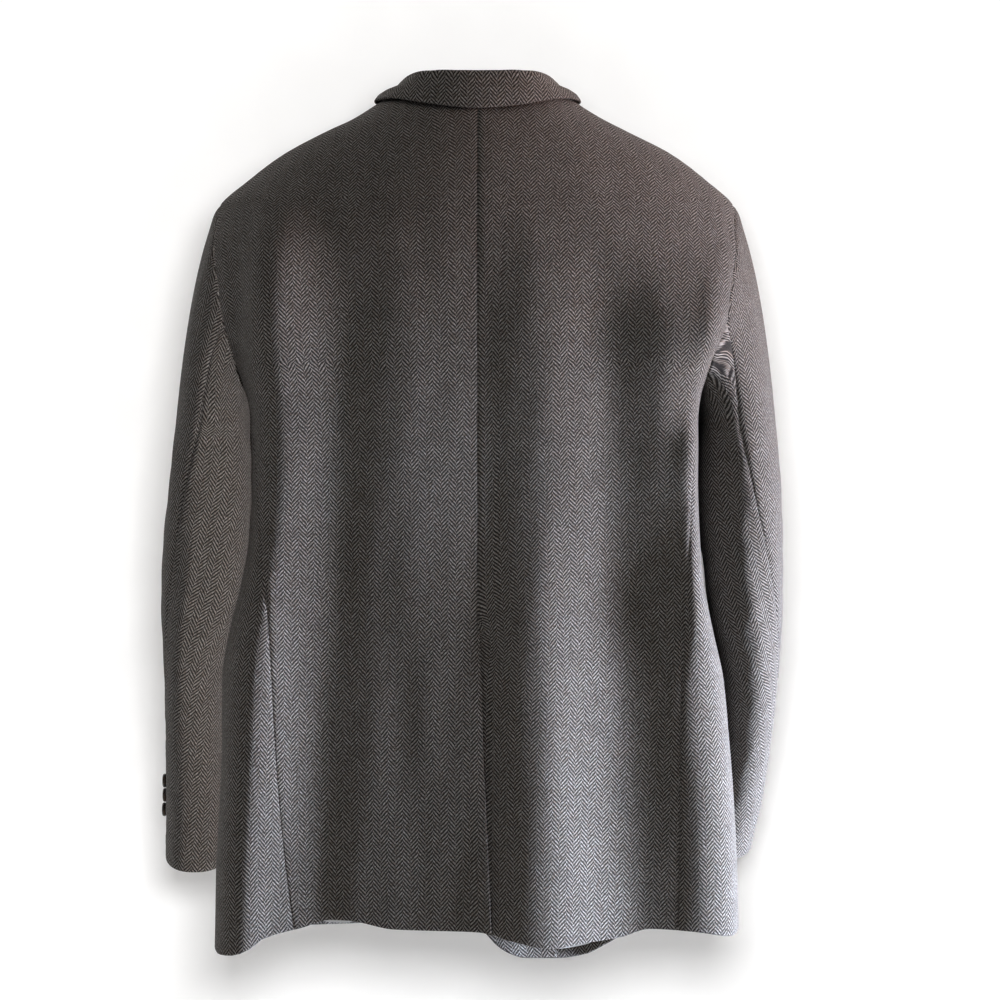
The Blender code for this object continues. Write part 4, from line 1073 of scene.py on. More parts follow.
@dataclass(frozen=True)
class Finish:
    """A material, built the first time that it is asked for."""

    name: str

    @property
    def material(self) -> bpy.types.Material:
        """Return the finish's material."""
        found = bpy.data.materials.get(self.name)
        if found is None:
            found = bpy.data.materials.new(self.name)
            found.use_nodes = True
            wiring = Wiring(found.node_tree)
            self.dress(wiring, found.node_tree.nodes["Principled BSDF"])
        return found

    def dress(self, w: Wiring, shader: Node) -> None:
        """Wire the finish's nodes to its shader."""
        raise NotImplementedError

    @staticmethod
    def grain(w: Wiring) -> Socket:
        """Return the place in the weave, in metres across and along."""
        return w.node("ShaderNodeUVMap", uv_map="grain").outputs[0]

    @staticmethod
    def bump(w: Wiring, height: Socket, strength: float, distance: float, shader: Node) -> None:
        """Feed the shader a bumped normal from a height."""
        made = w.wire(w.node("ShaderNodeBump"), Strength=strength, Distance=distance, Height=height)
        w.wire(shader, Normal=made.outputs[0])


@dataclass(frozen=True)
class Tweed(Finish):
    """Woollen herringbone tweed: pale flecked yarn over dark, with a soft nap."""

    name: str = "herringbone_tweed"
    pale: tuple = (0.24, 0.23, 0.219, 1.0)
    pale_brown: tuple = (0.17, 0.144, 0.125, 1.0)
    dark: tuple = (0.007, 0.0062, 0.006, 1.0)
    dark_brown: tuple = (0.017, 0.013, 0.011, 1.0)

    def dress(self, w: Wiring, shader: Node) -> None:
        """Wire the weave, its yarn colours with painted shade between the yarns, its nap and its relief."""
        grain = self.grain(w)
        nap = w.group(Effects.nap(), Grain=grain, Fineness=1.0)
        x, y = w.split(grain)
        wander = w.math("MULTIPLY_ADD", w.noise(grain, 150.0, 2.0), 0.0009, -0.00045)
        drift = w.math("MULTIPLY_ADD", w.noise(grain, 95.0, 2.0), 0.0016, -0.0008)
        laid = w.join(w.math("ADD", x, wander), w.math("ADD", y, drift))
        weave = w.group(Effects.herringbone(), Grain=laid)
        tone = weave.outputs["Yarn Tone"]
        pale = w.colour(w.range(tone, 0.35, 0.95), self.pale, self.pale_brown)
        dark = w.colour(w.range(tone, 0.45, 1.0), self.dark, self.dark_brown)
        haze = w.math("MULTIPLY", w.range(nap.outputs["Fibre"], 0.52, 0.82), 0.1)
        thin = w.math("MULTIPLY", w.range(nap.outputs["Slub"], 0.5, 0.78), 0.34)
        light = w.math("MULTIPLY", weave.outputs["Light Yarn"], w.math("SUBTRACT", 1.0, thin))
        cover = w.math("MAXIMUM", light, haze)
        cloth = w.colour(cover, dark, pale)
        # Painted shade: the colour darkens towards the sides and tips of every float, where shade falls between the
        # yarns.
        shade = w.math("MULTIPLY_ADD", weave.outputs["Crown"], 0.92, 0.24)
        fleck = w.range(w.noise(grain, 480.0, 3.0), 0.3, 0.7, 0.55, 1.5)
        cloud = w.range(nap.outputs["Cloud"], 0.25, 0.75, 0.9, 1.12)
        # Painted shade between the yarns, times the flecks and clouds of the yarn's own tone.
        painted_shade_and_flecks = w.math("MULTIPLY", w.math("MULTIPLY", shade, fleck), cloud)
        tint = w.colour(1.0, cloth, painted_shade_and_flecks, blend_type="MULTIPLY")
        w.wire(shader, Base_Color=tint, Roughness=w.range(nap.outputs["Fibre"], 0.3, 0.7, 0.82, 0.98))
        height = w.math("MULTIPLY_ADD", nap.outputs["Fibre"], 0.45, weave.outputs["Crown"])
        self.bump(w, height, 1.0, 0.00045, shader)
        w.wire(shader, Sheen_Weight=0.08, Sheen_Roughness=0.55, Sheen_Tint=(0.86, 0.83, 0.8, 1.0))
        w.wire(shader, Specular_IOR_Level=0.22)


@dataclass(frozen=True)
class LiningCloth(Finish):
    """Silver-grey lining, a smooth fine twill with a soft shine."""

    name: str = "silver_lining"
    base: tuple = (0.6, 0.61, 0.63, 1.0)
    deep: tuple = (0.47, 0.48, 0.5, 1.0)
    twill: float = 0.0011

    def dress(self, w: Wiring, shader: Node) -> None:
        """Wire the twill lines and the slight unevenness of the cloth."""
        grain = self.grain(w)
        x, y = w.split(grain)
        lines = w.math("DIVIDE", w.math("ADD", x, y), self.twill)
        wave = w.math("MULTIPLY_ADD", w.math("SINE", w.math("MULTIPLY", lines, 2 * math.pi)), 0.5, 0.5)
        cloud = w.noise(grain, 60.0, 3.0)
        share = w.math("MULTIPLY_ADD", wave, 0.35, w.math("MULTIPLY", cloud, 0.5))
        w.wire(shader, Base_Color=w.colour(share, self.deep, self.base), Roughness=w.range(cloud, 0.3, 0.7, 0.34, 0.48))
        self.bump(w, wave, 0.25, 0.00012, shader)
        w.wire(shader, Sheen_Weight=0.15)


@dataclass(frozen=True)
class Horn(Finish):
    """Dark brown horn, streaked and softly polished."""

    name: str = "dark_horn"
    dark: tuple = (0.01, 0.0075, 0.006, 1.0)
    warm: tuple = (0.06, 0.034, 0.02, 1.0)

    def dress(self, w: Wiring, shader: Node) -> None:
        """Wire the horn's streaks and its fine scratches."""
        place = w.node("ShaderNodeTexCoord").outputs["Object"]
        streak = w.noise(place, 260.0, 4.0, 0.6)
        scratch = w.noise(place, 1900.0, 2.0)
        colour = w.colour(w.range(streak, 0.42, 0.72), self.dark, self.warm)
        w.wire(shader, Base_Color=colour, Roughness=w.range(scratch, 0.3, 0.7, 0.22, 0.38))
        self.bump(w, scratch, 0.12, 0.00008, shader)


@dataclass(frozen=True)
class Thread(Finish):
    """Dark twisted sewing thread."""

    name: str = "dark_thread"
    dark: tuple = (0.018, 0.014, 0.012, 1.0)
    worn: tuple = (0.07, 0.058, 0.05, 1.0)

    def dress(self, w: Wiring, shader: Node) -> None:
        """Wire the thread's twist."""
        place = w.node("ShaderNodeTexCoord").outputs["Object"]
        twist = w.noise(place, 3200.0, 2.0)
        w.wire(shader, Base_Color=w.colour(w.range(twist, 0.35, 0.75), self.dark, self.worn), Roughness=0.7)
        self.bump(w, twist, 0.3, 0.00015, shader)


# The cutting room: what every sub-assembly shares


class Held(Enum):
    """How a sheet of cloth is held."""

    HUNG = "hung"
    FOLDED = "folded"


class Slot(Enum):
    """The record's material slots."""

    TWEED = "tweed"
    LINING = "lining"
    BUTTON = "button"


TWEED = Tweed()
LINING_CLOTH = LiningCloth()
HORN = Horn()
THREAD = Thread()
CLOTH_FINISH = {Slot.TWEED: TWEED, Slot.LINING: LINING_CLOTH}
BACK_WIDTH, SIDE_WIDTH, FRONT_WIDTH = 0.26, 0.13, 0.22


@dataclass
class Piece:
    """A sheet of cloth before it is sewn: its face, and what is said of it."""

    name: str
    slot: Slot
    points: Array
    outward: Array
    thickness: Array | float
    rims: Rims = Rims()
    first_u: Optional[Array] = None
    seams: str = ""
    held: Held = Held.HUNG
    rests_on: tuple[str, ...] = ()
    pucker: float = 0.00025
    groove: float = 0.0008
    trimmings: tuple[Object, ...] = ()
    trims_another: bool = False
    allowances: tuple[str, ...] = ()
    calm: float = 0.0


def grid_normals(points: Array, outward: Array) -> Array:
    """Find the directions that a grid of points faces.

    Args:
        points: Points in rows and columns.
        outward: Rough outward directions, which give the sign.

    Returns:
        Directions of length one.
    """
    up = np.gradient(points, axis=0)
    over = np.gradient(points, axis=1)
    normals = unit(np.cross(over, up))
    sign = np.sign(np.sum(normals * outward, axis=-1, keepdims=True))
    return normals * np.where(sign == 0, 1.0, sign)


def edge_distances(points: Array) -> dict[str, Array]:
    """Return how far each point of a grid lies from its foot, head, inner and outer edge."""
    across = np.cumsum(np.linalg.norm(np.diff(points, axis=1), axis=-1), axis=1)
    along = np.cumsum(np.linalg.norm(np.diff(points, axis=0), axis=-1), axis=0)
    inner = np.concatenate([np.zeros((len(points), 1)), across], axis=1)
    foot = np.concatenate([np.zeros((1, points.shape[1])), along], axis=0)
    return {"inner": inner, "outer": inner[:, -1:] - inner, "foot": foot, "head": foot[-1:] - foot}


@dataclass
class CuttingRoom:
    """The body's form and cut, and the way that every piece is sewn."""

    form: BodyForm = field(default_factory=BodyForm)
    pattern: Pattern = field(default_factory=Pattern)
    gap: float = 0.0001
    allowance: tuple[float, ...] = (0.0, 0.0012, 0.004)
    allowance_air: float = 0.00025
    allowance_wall: float = 0.0006
    skirt_step: float = 0.0042
    shoulder_step: float = 0.0024
    column_step: float = 0.0036
    pucker_length: float = 0.017
    pucker_reach: float = 0.009
    groove_reach: float = 0.0019

    def __post_init__(self) -> None:
        """Lay out the armhole and the cut on the form."""
        self.armhole = Armhole(self.form)
        self.cut = Cut(self.form, self.armhole)
        self.made: list[Object] = []

    def rows(self, last: float, rims: Rims, coarse: float = 1.0) -> Array:
        """Return closely spaced shared rows, from the hem up to a last one."""
        levels, numbers = self.cut.levels, np.arange(len(self.cut.levels))
        top = np.interp(last, numbers, levels)
        tip = min(self.armhole.shoulder_tip, top)
        tall = tip - levels[0]
        lower = levels[0] + tall * self.shares(tall, rims.foot, rims.head, self.skirt_step * coarse)
        if top - tip < 0.01:
            return np.interp(lower, levels, numbers)
        upper = tip + (top - tip) * self.shares(top - tip, rims.head, rims.head, self.shoulder_step * coarse)
        below = lower[lower < tip - 0.002]
        above = upper[upper > tip + 0.0006]
        return np.interp(np.concatenate([below, [tip], above]), levels, numbers)

    def shares(self, length: float, first: float, last: float, step: Optional[float] = None) -> Array:
        """Return shares of a length between two seams, a hair short of both."""
        short = self.gap / length
        return short + (1 - 2 * short) * spaced(length, step or self.column_step, first, last)

    def sew(self, piece: Piece, *nodes: str) -> Object:
        """Args:
            piece: The piece.
            *nodes: The frame's nodes that it stands for. Its own name if none is given.

        Returns:
            The new object.
        """
        flat = self.pattern.flatten(piece.points, piece.first_u, piece.calm)
        normals = grid_normals(piece.points, piece.outward)
        points = piece.points + normals * self._sewn(piece)[..., None]
        cloth = Cloth(piece.name + "_cloth", points, normals, piece.thickness, flat, piece.rims)
        for edge in piece.allowances:
            self._allow(cloth, edge)
        made = cloth.sew(CLOTH_FINISH[piece.slot])
        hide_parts(*(nodes or (piece.name,)))
        self.ride(made, piece.slot)
        return made

    def ride(self, made: Object, slot: Slot) -> Object:
        """Let a piece ride on the jacket."""
        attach(made, BODY)
        self.made.append(made)
        return made

    def _allow(self, cloth: Cloth, edge: str) -> None:
        """Carry a piece on past its seam, behind its neighbour, as a seam allowance.

        Args:
            cloth: The piece, which is widened.
            edge: Which of its sides is carried on: inner or outer.
        """
        last, near = (0, 4) if edge == "inner" else (-1, -5)
        thickness = np.array(np.broadcast_to(cloth.thickness, cloth.points.shape[:2]))
        edge_line, normal = cloth.points[:, last], cloth.normals[:, last]
        over = unit(edge_line - cloth.points[:, near])
        weave = unit(cloth.grain[:, last] - cloth.grain[:, near])
        depth = thickness[:, last, None] + self.allowance_air
        new = {"points": [], "normals": [], "thickness": [], "grain": []}
        for reach in self.allowance:
            new["points"].append(edge_line + over * (reach + 2 * self.gap) - normal * depth)
            new["normals"].append(normal)
            new["thickness"].append(np.full(len(edge_line), self.allowance_wall))
            new["grain"].append(cloth.grain[:, last] + weave * (reach + depth))
        for name, lines in new.items():
            block = np.stack(lines if edge == "outer" else lines[::-1], axis=1)
            old = thickness if name == "thickness" else getattr(cloth, name)
            setattr(cloth, name, np.concatenate([old, block] if edge == "outer" else [block, old], axis=1))
        cloth.skipped[edge] = len(self.allowance)

    def _sewn(self, piece: Piece) -> Array:
        """Return the slight ripples and the groove that stitching makes along seams."""
        total = np.zeros(piece.points.shape[:2])
        distances = edge_distances(piece.points)
        for number, edge in enumerate(piece.seams.split()):
            along = distances["foot" if edge in ("inner", "outer") else "inner"]
            beat = 2 * math.pi * along / self.pucker_length + 2.2 * np.sin(along * 31.0 + number)
            total += piece.pucker * np.sin(beat) * bell(distances[edge], self.pucker_reach)
            total -= piece.groove * bell(distances[edge], self.groove_reach)
        return total

    @staticmethod
    def _flat_size(flat: Array) -> tuple[float, float, float]:
        """Return the width, length and area of a flattened piece, turned to lie square."""
        best = (math.inf, 0.0, 0.0)
        for degrees in range(-45, 46):
            cosine, sine = math.cos(math.radians(degrees)), math.sin(math.radians(degrees))
            wide = float(np.ptp(flat[..., 0] * cosine - flat[..., 1] * sine))
            tall = float(np.ptp(flat[..., 0] * sine + flat[..., 1] * cosine))
            best = min(best, (wide * tall, wide, tall))
        _, width, length = best
        a, b = flat[1:, 1:] - flat[:-1, :-1], flat[1:, :-1] - flat[:-1, 1:]
        area = float(np.abs(a[..., 0] * b[..., 1] - a[..., 1] * b[..., 0]).sum() / 2)
        return width, length, min(area, width * length)


# Sub-assemblies


@dataclass
class Shell:
    """The tweed panels of the body: two backs, two side bodies and two fronts."""

    room: CuttingRoom
    cloth: float = 0.0018
    turn_up: float = 0.0014
    turn_up_depth: float = 0.035
    vent_turning: float = 0.0012
    vent_turning_width: float = 0.032
    edge: float = 0.0013
    seam: float = 0.0008
    vent_stand: float = 0.0016
    centre_groove: float = 0.0009

    def build(self) -> None:
        """Sew the six panels."""
        for side in Side:
            self._back(side)
            self._side_body(side)
            self._front(side)

    def _thickness(self, points: Array) -> Array:
        """Return the wall's thickness, greater where the hem is turned up inside."""
        above = edge_distances(points)["foot"]
        return self.cloth + self.turn_up * soft_step((self.turn_up_depth - above) / 0.004)

    def _back(self, side: Side) -> None:
        """Sew a back, with its vent below and its neckline above."""
        room, cut = self.room, self.room.cut
        rims = Rims(self.edge, self.seam, self.seam, self.seam, ("inner", "outer", "head"))
        rows = room.rows(len(cut.levels) - 1, rims)
        shares = room.shares(BACK_WIDTH, self.edge, self.seam)
        turn, z = cut.back_grid(rows, shares, side)
        x = room.form.point(turn, z)[..., 0]
        lift = cut.vent_lift(turn, z, side)
        thickness = self.cloth
        below = soft_step((cut.vent_top + 0.004 - z) / 0.1)
        if side is Side.LEFT:
            beside = cut.vent_edge(z) - x
            lift = lift + self.vent_stand * below * bell(beside, 0.02)
            thickness = self.cloth + self.vent_turning * soft_step((self.vent_turning_width - beside) / 0.004) * below
        sewn = soft_step((z - cut.vent_top) / 0.012)
        lift = lift - self.centre_groove * sewn * bell(x - x[:, :1], 0.0014)
        points, outward = room.form.place(turn, z, lift)
        first_u = side.sign * points[:, 0, 0]
        room.sew(
            Piece(
                "back_" + side.label, Slot.TWEED, points, outward, np.maximum(thickness, self._thickness(points)),
                rims, first_u, "outer head", allowances=("inner",) if side is Side.RIGHT else (),
            )
        )

    def _side_body(self, side: Side) -> None:
        """Sew a side body, between the back and the front under the arm."""
        room = self.room
        rims = Rims(self.edge, self.seam, self.seam, self.seam, ("inner", "outer", "head"))
        rows = room.rows(room.cut.seam_row, rims)
        turn, z = room.cut.side_grid(rows, room.shares(SIDE_WIDTH, self.seam, self.seam), side)
        points, outward = room.form.place(turn, z, np.zeros(z.shape))
        room.sew(
            Piece(
                "side_" + side.label, Slot.TWEED, points, outward, self._thickness(points), rims,
                seams="inner outer head", allowances=("inner", "outer"),
            )
        )

    def _front(self, side: Side) -> None:
        """Sew a front, from its edge and roll line round to the side body."""
        room, cut = self.room, self.room.cut
        rims = Rims(self.edge, self.seam, self.edge, self.seam, ("outer", "head"))
        rows = room.rows(len(cut.levels) - 1, rims)
        turn, z = cut.front_grid(rows, room.shares(FRONT_WIDTH, self.edge, self.seam), side)
        points, outward = room.form.place(turn, z, cut.front_lift(turn, z, side))
        thickness = self._thickness(points)
        room.sew(Piece("front_" + side.label, Slot.TWEED, points, outward, thickness, rims, seams="outer"))


@dataclass
class Inside:
    """The body's lining, and the facings inside the front edges."""

    room: CuttingRoom
    cloth: float = 0.0018
    lining: float = 0.001
    air: float = 0.003
    gap: float = 0.0008
    last_row: float = 24.0
    hem_margin: float = 0.012
    front_margin: float = 0.01
    sag_depth: float = 0.0145
    sag_centre: float = -0.132
    sag_spread: float = 0.022
    lap_clearance: float = 0.044
    facing_share: float = 0.235
    facing_rise: float = 0.012
    pleat: float = 0.007
    pleat_depth: float = 0.0024

    def build(self) -> None:
        """Sew the six lining panels and the two facings."""
        for side in Side:
            self._back_lining(side)
            self._side_lining(side)
            self._front_inside(side)

    @property
    def lift(self) -> float:
        """Return the lining's lift: inside the tweed by a little air."""
        return -self.cloth - self.air

    def _rims(self) -> Rims:
        """Return the lining's thin rims."""
        return Rims(0.0006, 0.0006, 0.0006, 0.0006)

    def _raise_foot(self, rows: Array, z: Array, rise: Array) -> Array:
        """Return heights with the lowest rows raised clear of the hem."""
        return z + rise * np.maximum(0.0, 1.0 - rows / 2.0)[:, None]

    def _soft(self, points: Array) -> Array:
        """Return the small play of a loose lining."""
        x, z = points[..., 0], points[..., 2]
        return 0.0007 * np.sin(x * 83.0 + z * 9.0) * np.sin(z * 21.0 + 1.0) - 0.0004

    def _line(self, name: str, turn: Array, z: Array, lift: Array) -> None:
        """Sew a panel of lining at turns and heights."""
        room = self.room
        plain = room.form.point(turn, z)
        points, outward = room.form.place(turn, z, lift + self.lift + self._soft(plain))
        room.sew(Piece(name, Slot.LINING, points, outward, self.lining, self._rims(), pucker=0.0, groove=0.0))

    def _back_lining(self, side: Side) -> None:
        """Line a back, clear of the vent's underlap on the left."""
        room, cut = self.room, self.room.cut
        rise_start = cut.vent_top + 0.063

        def centre(z: Array, side: Side) -> Array:
            """Return the turn of the lining's centre edge."""
            x = np.full(np.shape(z), side.sign * self.gap)
            if side is Side.LEFT:
                x = x - self.lap_clearance * soft_step((rise_start - z) / self.lap_clearance)
            else:
                x = x - self.pleat
            return room.form.turn_at(x, z, side, False)

        rims = self._rims()
        rows = room.rows(self.last_row, rims, 1.6)
        turn, z = cut.back_grid(rows, self._shares(BACK_WIDTH), side, centre)
        x = room.form.point(turn, z)[..., 0]
        sag = self.sag_depth * np.exp(-(((x - self.sag_centre) / self.sag_spread) ** 4)) * (side is Side.LEFT)
        z = self._raise_foot(rows, z, self.hem_margin - sag)
        pleated = self.pleat_depth * soft_step((0.012 - x) / 0.01) * (side is Side.RIGHT)
        self._line("back_lining_" + side.label, turn, z, cut.vent_lift(turn, z, side) - pleated)

    def _shares(self, length: float) -> Array:
        """Return shares of a lining's width, drawn in a little at both edges."""
        short = self.gap / length
        return short + (1 - 2 * short) * spaced(length, 0.0055, 0.0006, 0.0006)

    def _side_lining(self, side: Side) -> None:
        """Line a side body."""
        room = self.room
        rows = room.rows(room.cut.seam_row, self._rims(), 1.6)
        turn, z = room.cut.side_grid(rows, self._shares(SIDE_WIDTH), side)
        z = self._raise_foot(rows, z, np.full(z.shape, self.hem_margin)) - self.gap
        self._line("side_lining_" + side.label, turn, z, np.zeros(z.shape))

    def _front_inside(self, side: Side) -> None:
        """Face a front's edge with tweed and line the rest of it."""
        room, cut = self.room, self.room.cut
        shares = self.facing_share * self._shares(0.06)
        rims = Rims(0.001, 0.0008, 0.001, 0.0008)
        rows = room.rows(len(cut.levels) - 2, rims, 1.3)
        rows = rows + self.facing_rise * (1 - rows / rows[-1])
        turn, z = cut.front_grid(rows, shares, side)
        points, outward = room.form.place(turn, z, cut.front_lift(turn, z, side) - self.cloth - 0.0018)
        room.sew(Piece("facing_" + side.label, Slot.TWEED, points, outward, self.cloth, rims))

        shares = mix(self.facing_share, 1.0, self._shares(0.18))
        rows = room.rows(self.last_row, self._rims(), 1.6)
        turn, z = cut.front_grid(rows, shares, side)
        z = self._raise_foot(rows, z, np.full(z.shape, self.front_margin))
        self._line("front_lining_" + side.label, turn, z, cut.front_lift(turn, z, side))


@dataclass(frozen=True)
class CollarStation:
    """The collar's neck seam, its fold and the edge of its leaf, at a step round the neck."""

    step: int
    neck_x: float
    neck_z: float
    fold_x: float
    fold_y: float
    fold_z: float
    edge_x: float
    edge_z: float
    sag: float


COLLAR = table(
    CollarStation,
    (0, 0.0, 0.0045, 0.0, -0.0665, 0.0343, 0.0, -0.0027, 0.0),
    (1, 0.03, 0.0055, 0.034, -0.064, 0.035, 0.036, 0.0, 0.0),
    (2, 0.055, 0.009, 0.057, -0.053, 0.0345, 0.066, 0.0055, 0.0),
    (3, 0.074, 0.0152, 0.069, -0.031, 0.0315, 0.086, 0.0092, 0.0),
    (4, 0.081, 0.0212, 0.0765, -0.004, 0.0275, 0.092, 0.0095, 0.0),
    (5, 0.0765, 0.011, 0.0815, 0.0215, 0.0205, 0.1, -0.002, 0.0),
    (6, 0.0745, -0.01, 0.08, 0.049, 0.005, 0.113, -0.03, 0.0),
    (7, 0.0725, -0.042, 0.077, 0.0765, -0.04, 0.127, -0.06, 0.014),
)


def rounded_path(knots: Array, each: int) -> Array:
    """Draw a smooth line through each row of knots.

    Args:
        knots: Points, with the knots of a line along the last axis but one.
        each: How many points are drawn from one knot to the next.

    Returns:
        The smooth lines' points.
    """
    first = 2 * knots[..., :1, :] - knots[..., 1:2, :]
    last = 2 * knots[..., -1:, :] - knots[..., -2:-1, :]
    full = np.concatenate([first, knots, last], axis=-2)
    gaps = np.sqrt(np.linalg.norm(np.diff(full, axis=-2), axis=-1))
    times = np.concatenate([np.zeros(gaps.shape[:-1] + (1,)), np.cumsum(gaps, axis=-1)], axis=-1)
    parts = []
    count = knots.shape[-2] - 1
    for index in range(count):
        p = [full[..., index + k, None, :] for k in range(4)]
        t = [times[..., index + k, None, None] for k in range(4)]
        share = np.linspace(0, 1, each + 1)[: each + (index == count - 1)]
        at = t[1] + (t[2] - t[1]) * share[:, None]
        a = [mix(p[k], p[k + 1], (at - t[k]) / (t[k + 1] - t[k])) for k in range(3)]
        b = [mix(a[k], a[k + 1], (at - t[k]) / (t[k + 2] - t[k])) for k in range(2)]
        parts.append(mix(b[0], b[1], (at - t[1]) / (t[2] - t[1])))
    return np.concatenate(parts, axis=-2)


def evenly(line: Array, shares: Array) -> Array:
    """Return points at shares of each line's length, along the last axis but one."""
    steps = np.linalg.norm(np.diff(line, axis=-2), axis=-1)
    reach = np.concatenate([np.zeros(steps.shape[:-1] + (1,)), np.cumsum(steps, axis=-1)], axis=-1)
    picked = np.empty(line.shape[:-2] + (len(shares), line.shape[-1]))
    for index in np.ndindex(line.shape[:-2]):
        for axis in range(line.shape[-1]):
            picked[index][:, axis] = np.interp(shares * reach[index][-1], reach[index], line[index][:, axis])
    return picked


@dataclass
class Collar:
    """The collar: its stand, the fold and the leaf that turns down, all in one piece."""

    room: CuttingRoom
    stations: tuple[CollarStation, ...] = COLLAR
    known: int = 8
    last_back: float = 4.0
    cloth: float = 0.0026
    clearance: float = 0.0062
    edge_lift: float = 0.0046
    belly: float = 0.0015
    fold_radius: float = 0.0029
    fold_rise: float = 0.0022
    fold_drop: float = 0.002
    edge_limit: float = 0.9995
    tuck: float = 0.006

    def _curves(self) -> dict[str, SmoothCurve]:
        """Return curves of the stations' sizes, mirrored to both sides of the centre back."""
        room, last = self.room, float(self.stations[-1].step)
        names = ("neck_x", "neck_z", "fold_x", "fold_y", "fold_z", "edge_x", "edge_z", "sag")
        half = curves_of(self.stations, "step", names)
        steps = np.linspace(-last, last, 2 * self.known + 1)
        value = {name: half[name](np.abs(steps)) for name in names}
        value["fold_x"] = value["fold_x"] * np.sign(steps)
        for name in ("neck", "edge"):
            turns = []
            for step, x, z in zip(steps, value[name + "_x"], value[name + "_z"]):
                side = Side.LEFT if step < 0 else Side.RIGHT
                if name == "edge":
                    x = min(x, float(room.form.size(side.label, z)) * self.edge_limit)
                turns.append(float(room.form.turn_at(side.sign * x, z, side, abs(step) > self.last_back)))
            value[name + "_turn"] = np.asarray(turns)
        return {name: SmoothCurve(steps, numbers) for name, numbers in value.items()}

    def _sections(self, at: Array) -> Array:
        """Find the knots of the collar's sections, from the neck seam to the leaf's edge."""
        form, value = self.room.form, {name: curve(at) for name, curve in self._curves().items()}
        neck, _ = form.place(value["neck_turn"], value["neck_z"], -0.0022)
        tuck, _ = form.place(value["neck_turn"], value["neck_z"] - self.tuck, -0.0032)
        edge, _ = form.place(value["edge_turn"], value["edge_z"], self.edge_lift)
        fold = np.stack([value["fold_x"], value["fold_y"], value["fold_z"]], axis=-1)
        away = unit((edge - neck) * np.array([1.0, 1.0, 0.0]))
        up = np.array([0.0, 0.0, 1.0])
        into = fold - away * self.fold_radius - up * self.fold_drop
        over = fold + up * self.fold_rise
        out = fold + away * self.fold_radius - up * self.fold_drop
        leaf = []
        for share in (1 / 3, 2 / 3):
            point = mix(out, edge, share) + away * self.belly
            point = point - up * (value["sag"] * (1 - abs(2 * share - 1)))[:, None]
            leaf.append(self._clear(point))
        return np.stack([tuck, neck, (neck + into) / 2, into, over, out, *leaf, edge], axis=1)

    def _clear(self, points: Array) -> Array:
        """Return points pushed out until they clear the body."""
        form, reach = self.room.form, 0.001
        normals = form.normal(points)
        slope = (form.level(points + normals * reach) - form.level(points)) / reach
        height = (form.level(points) - 1.0) / slope
        return points + normals * np.maximum(0.0, self.clearance - height)[:, None]

    def build(self) -> None:
        """Sew the collar."""
        last = float(self.stations[-1].step)
        rims = Rims(0.001, 0.0014, 0.0014, 0.0014)
        at = mix(-last, last, spaced(0.56, 0.003, rims.inner, rims.outer))
        lines = rounded_path(self._sections(at), 14)
        length = float(np.linalg.norm(np.diff(lines[len(lines) // 2], axis=0), axis=-1).sum())
        points = evenly(lines, spaced(length, 0.0016, rims.foot, rims.head)).transpose(1, 0, 2)
        facing = unit(np.cross(np.gradient(points, axis=1), np.gradient(points, axis=0)))
        facing = facing * -np.sign(facing[-4, points.shape[1] // 2, 1])
        self.room.sew(
            Piece(
                "collar", Slot.TWEED, points, facing, self.cloth, rims, held=Held.FOLDED,
                rests_on=("back_left", "back_right"), pucker=0.0, groove=0.0,
            )
        )


@dataclass(frozen=True)
class LapelRow:
    """A row of a lapel: its height on the roll line, and its outer edge."""

    step: int
    roll_z: float
    edge_x: float
    edge_z: float


LAPEL = table(
    LapelRow,
    (0, -0.296, 0.01, -0.302), (1, -0.28, 0.05, -0.292), (2, -0.256, 0.083, -0.262), (3, -0.215, 0.106, -0.218),
    (4, -0.165, 0.123, -0.172), (5, -0.11, 0.132, -0.128), (6, -0.052, 0.134, -0.098),
)


@dataclass
class Lapels:
    """The lapels, folded back over the fronts along the roll line."""

    room: CuttingRoom
    table: tuple[LapelRow, ...] = LAPEL
    cloth: float = 0.002
    lift: float = 0.0044
    inset: float = 0.001
    roll: float = 0.006
    nose: float = 0.0028

    def build(self) -> None:
        """Sew both lapels."""
        curves = curves_of(self.table, "step", ("roll_z", "edge_x", "edge_z"))
        rims = Rims(0.001, 0.0012, 0.001, 0.0012)
        steps = mix(0.0, float(self.table[-1].step), spaced(0.27, 0.0035, rims.foot, rims.head))
        shares = spaced(0.07, 0.0025, 0.001, 0.0012)
        for side in Side:
            roll_z, edge_x, edge_z = (curves[name](steps)[:, None] for name in ("roll_z", "edge_x", "edge_z"))
            roll_x = self.room.cut.front_edge["right"](roll_z) + self.inset
            width = np.hypot(edge_x - roll_x, edge_z - roll_z)
            bend = np.clip(shares * width / self.roll, 0.0, 1.0)
            x = mix(roll_x, edge_x, shares) - self.nose * (1 - bend) ** 2
            z = mix(roll_z, edge_z, shares)
            lift = mix(-0.0004, self.lift, np.sin(bend * math.pi / 2)) + 0.0012 * np.sin(shares * math.pi)
            turn = self.room.form.turn_at(side.sign * x, z, side, True)
            points, outward = self.room.form.place(turn, z, lift)
            self.room.sew(
                Piece(
                    "lapel_" + side.label, Slot.TWEED, points, outward, self.cloth, rims, held=Held.FOLDED,
                    rests_on=("front_" + side.label,), pucker=0.0, groove=0.0,
                )
            )


@dataclass(frozen=True)
class SleeveRing:
    """A sleeve's ring: reach outwards and inwards, rear and front, its seams and its tilt."""

    z: float
    outer: float
    inner: float
    rear: float
    front: float
    hind: float
    fore: float
    tilt: float


